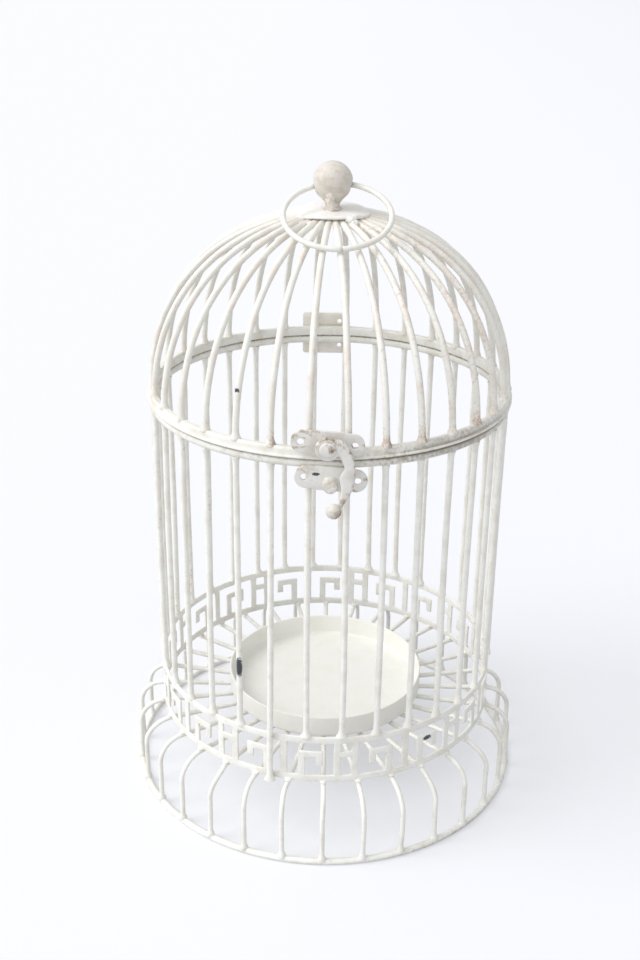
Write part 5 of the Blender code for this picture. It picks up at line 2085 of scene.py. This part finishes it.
    def _stud(self) -> None:
        """Builds the catch stud by a profile, with a soft front edge and a fillet at the plate."""
        radius, end, edge = self.stud_radius, self.standoff - 0.3 * MM, 0.75 * MM
        profile = np.concatenate(
            (
                self._tail(),
                [(self.shank, -0.1 * MM), (radius + 0.35 * MM, -0.05 * MM)],
                [(radius + 0.1 * MM, 0.25 * MM), (radius, 0.7 * MM)],
                arc((radius - edge, end - edge), edge, 0, 90, 8),
                [(0.8 * MM, end + 0.04 * MM), (0.2 * MM, end + 0.05 * MM)],
            )
        )
        wear = self.stud_wear + self.stud_edge_wear.at(profile[:, 1], end - edge / 2)
        grime_and_shade = self.stud_foot_grime.at(profile[:, 1], 0.0)
        surface = turned(profile, 40, wear=wear, grime_and_shade=grime_and_shade)
        place = self._place(self.lower, self.lower_tilt)
        surface.placed(place @ Matrix.Translation((0, -self.stud_drop, 0)))
        piece = Piece("catch_stud_turned", Body.BASE, Slot.FITTINGS, FITTING_PAINT, "catch_stud")
        piece.add(surface)

    def _arm(self) -> Surface:
        """Gives the arm: a cushion section carried along its middle line.

        The section is a superellipse of power 3 in width and thickness, and its width
        follows the stations. Sideways, down and width are smooth curves through the stations.

        Returns:
            The arm's surface, in the upper plate's frame.
        """
        stations = smooth_line(np.array(self.arm_shares), 90) * self.drop
        path = np.stack((stations[:, 0], -stations[:, 1]), axis=-1)
        along = unit(np.gradient(path, axis=0))
        square = np.stack((along[:, 1], -along[:, 0]), axis=-1)
        turns = np.linspace(0, TURN, 28, endpoint=False)
        wide, deep = (signed_power(wave, 2 / 3) for wave in (np.cos(turns), np.sin(turns)))
        reach = wide[None, :] * stations[:, 2:] / 2
        flat = path[:, None, :] + square[:, None, :] * reach[..., None]
        crown = 1 - 0.18 * np.linspace(0, 1, len(path)) ** 2
        middle = self.standoff + self.hook_thickness / 2
        depth = middle + deep[None, :] * self.hook_thickness / 2 * crown[:, None]
        return lattice(np.concatenate((flat, depth[..., None]), axis=-1)[None])

    def _hook(self) -> None:
        """Builds the hook: eye, arm and knob fused by a fine remesh, then smoothed."""
        low, high = self.standoff, self.standoff + self.hook_thickness
        eye_profile = np.concatenate(
            (
                [(0.4 * MM, low)],
                arc((self.eye_radius - 0.4 * MM, low + 0.4 * MM), 0.4 * MM, -90, 0, 5),
                arc((self.eye_radius - 0.6 * MM, high - 0.6 * MM), 0.6 * MM, 0, 90, 6),
                [(0.4 * MM, high)],
            )
        )
        eye = turned(eye_profile, 64)
        ball = arc((0.0, 0.0), 1.0, -86, 86, 25) * [self.knob_radius, self.knob_half_depth]
        centre = (self.knob_side_share * self.drop, -self.drop, low + self.knob_half_depth)
        knob = turned(ball, 48).placed(Matrix.Translation(centre))
        name = "clasp_hook_cast"
        mesh = cast(name, eye.joined(self._arm(), knob), voxel=0.16 * MM, rounds=6)
        mesh.transform(self._place(self.upper))
        rub_edges(mesh, strength=2.6, floor=0.14, spots=self.hook_rubs)
        piece = Piece(
            name, Body.HOOK, Slot.FITTINGS, FITTING_PAINT, "clasp_hook", crease_degrees=60.0
        )
        piece.add_mesh(mesh)


# ---- room


@dataclass
class Studio:
    """The pale floor, the soft light from the upper left and the camera.

    The room lights the cage evenly from the front left, as large windows do, and a broad sun
    adds the soft shadow to the right. The camera is the one fitted to the photograph.
    """

    camera_place: Triple = (0.0, -478.33 * MM, 346.91 * MM)
    pitch: float = math.radians(24.402)
    yaw: float = math.radians(-0.3956)
    roll: float = math.radians(0.757)
    focal_pixels: float = 1275.06
    image_height: int = 960
    sensor: float = 36.0
    floor_reach: float = 8.0
    paper: str = "#fbfcff"
    # The paper's colour at the far right, darker as painted shade
    far_paper_shade: str = "#ebecf1"
    fade_from: float = -0.2
    fade_to: float = 1.4
    glow: float = 0.425
    seen_paper: str = "#bcbdc0"
    lighting_paper: str = "#c2c3c6"
    far_side: Triple = (0.707, 0.707, 0.0)
    near_level: float = 1.22
    far_level: float = 0.32
    sun_energy: float = 1.6
    sun_size: float = math.radians(34)
    sun_direction: Triple = (0.69, 0.15, -0.71)

    def build(self) -> None:
        """Builds the floor, the sun, the world and the camera."""
        bpy.context.scene.view_settings.view_transform = "Standard"
        self._floor()
        self._world()
        self._window_light()
        self._camera()

    def _seen(self, tree: bpy.types.NodeTree) -> bpy.types.NodeSocket:
        """Gives one for the rays of the camera, of gloss and of glass, and nought for others.

        Args:
            tree: the node tree of the floor or the world.

        Returns:
            The socket.
        """
        path = add_node(tree, "LightPath")
        seen = path.outputs["Is Camera Ray"]
        for kind in ("Is Glossy Ray", "Is Transmission Ray"):
            either = {0: seen, 1: path.outputs[kind]}
            seen = add_node(tree, "Math", either, operation="MAXIMUM").outputs[0]
        return seen

    def _floor(self) -> None:
        """Adds the floor: matt paper that the camera, gloss and glass see almost white.

        They see half of it as its own colour and half as lit paper, so that it keeps the
        cage's soft shadow, and its colour darkens a little towards the far right: painted shade.
        """
        mesh = bpy.data.meshes.new("floor")
        reach = self.floor_reach
        corners = [(-reach, -reach, 0), (reach, -reach, 0), (reach, reach, 0), (-reach, reach, 0)]
        mesh.from_pydata(corners, [], [(0, 1, 2, 3)])
        material = bpy.data.materials.new("white paper sweep")
        tree = empty_tree(material)
        place = add_node(tree, "TexCoord").outputs["Object"]
        # Painted shade: the paper's colour darkens from the left towards the far right
        across = add_node(tree, "SeparateXYZ", {0: place}).outputs["X"]
        limits = {"Value": across, "From Min": self.fade_from, "From Max": self.fade_to}
        fade = add_node(tree, "MapRange", limits).outputs[0]
        ends = {0: fade, 6: linear(self.paper), 7: linear(self.far_paper_shade)}
        tone = add_node(tree, "Mix", ends, data_type="RGBA").outputs[2]
        glow = add_node(tree, "Emission", {"Color": tone, "Strength": self.glow})
        lit, plain = (
            add_node(tree, "BsdfDiffuse", {"Color": linear(code)}).outputs[0]
            for code in (self.seen_paper, self.lighting_paper)
        )
        both = add_node(tree, "AddShader", {0: glow.outputs[0], 1: lit}).outputs[0]
        mixed = add_node(tree, "MixShader", {0: self._seen(tree), 1: plain, 2: both})
        add_node(tree, "OutputMaterial", {"Surface": mixed.outputs[0]})
        mesh.materials.append(material)
        linked_object("floor", mesh)

    def _world(self) -> None:
        """Sets a plain white surround whose light fades from the front left to the back right.

        Its level follows the direction dotted with the far side, in a straight line.
        """
        world = bpy.data.worlds.new("studio surround")
        bpy.context.scene.world = world
        tree = empty_tree(world)
        ends = {0: add_node(tree, "TexCoord").outputs["Generated"], 1: self.far_side}
        far = add_node(tree, "VectorMath", ends, operation="DOT_PRODUCT").outputs["Value"]
        levels = {"To Min": self.near_level, "To Max": self.far_level}
        level = add_node(tree, "MapRange", {"Value": far, "From Min": -1.0, **levels}).outputs[0]
        strength = add_node(tree, "Mix", {0: self._seen(tree), 2: level, 3: 1.0}).outputs[0]
        light = add_node(tree, "Background", {"Color": linear(self.paper), "Strength": strength})
        add_node(tree, "OutputWorld", {"Surface": light.outputs[0]})

    def _window_light(self) -> None:
        """Adds a broad sun from the left and a little in front, as from a large window."""
        lamp = bpy.data.lights.new("window light", "SUN")
        lamp.energy = self.sun_energy
        lamp.angle = self.sun_size
        turn = Vector(self.sun_direction).to_track_quat("-Z", "Y")
        linked_object("window light", lamp).rotation_euler = turn.to_euler()

    def _camera(self) -> None:
        """Adds the camera where the photograph was taken from.

        Its forward axis is yaw round Z and pitch down, and roll turns right and up about it.
        """
        forward = Vector(
            (
                math.sin(self.yaw) * math.cos(self.pitch),
                math.cos(self.yaw) * math.cos(self.pitch),
                -math.sin(self.pitch),
            )
        )
        right = Vector((math.cos(self.yaw), -math.sin(self.yaw), 0.0))
        up = right.cross(forward)
        across = right * math.cos(self.roll) + up * math.sin(self.roll)
        upward = up * math.cos(self.roll) - right * math.sin(self.roll)
        camera = bpy.data.cameras.new("camera")
        camera.sensor_width = self.sensor
        camera.lens = self.focal_pixels * self.sensor / self.image_height
        item = linked_object("camera", camera)
        axes = Matrix((across, upward, -forward)).transposed().to_4x4()
        item.matrix_world = Matrix.Translation(self.camera_place) @ axes
        bpy.context.scene.camera = item


def main() -> None:
    """Builds the room and then the cage from the ground up."""
    logging.basicConfig(level=logging.INFO, format="%(message)s")
    layout = Layout()
    Studio().build()
    Skirt(layout).build()
    KeyBand(layout).build()
    Dish(layout).build()
    BodyBars(layout).build()
    Rings(layout).build()
    Dome(layout).build()
    Crown(layout).build()
    ButtHinge(layout).build()
    Clasp(layout).build()


if __name__ == "__main__":
    main()
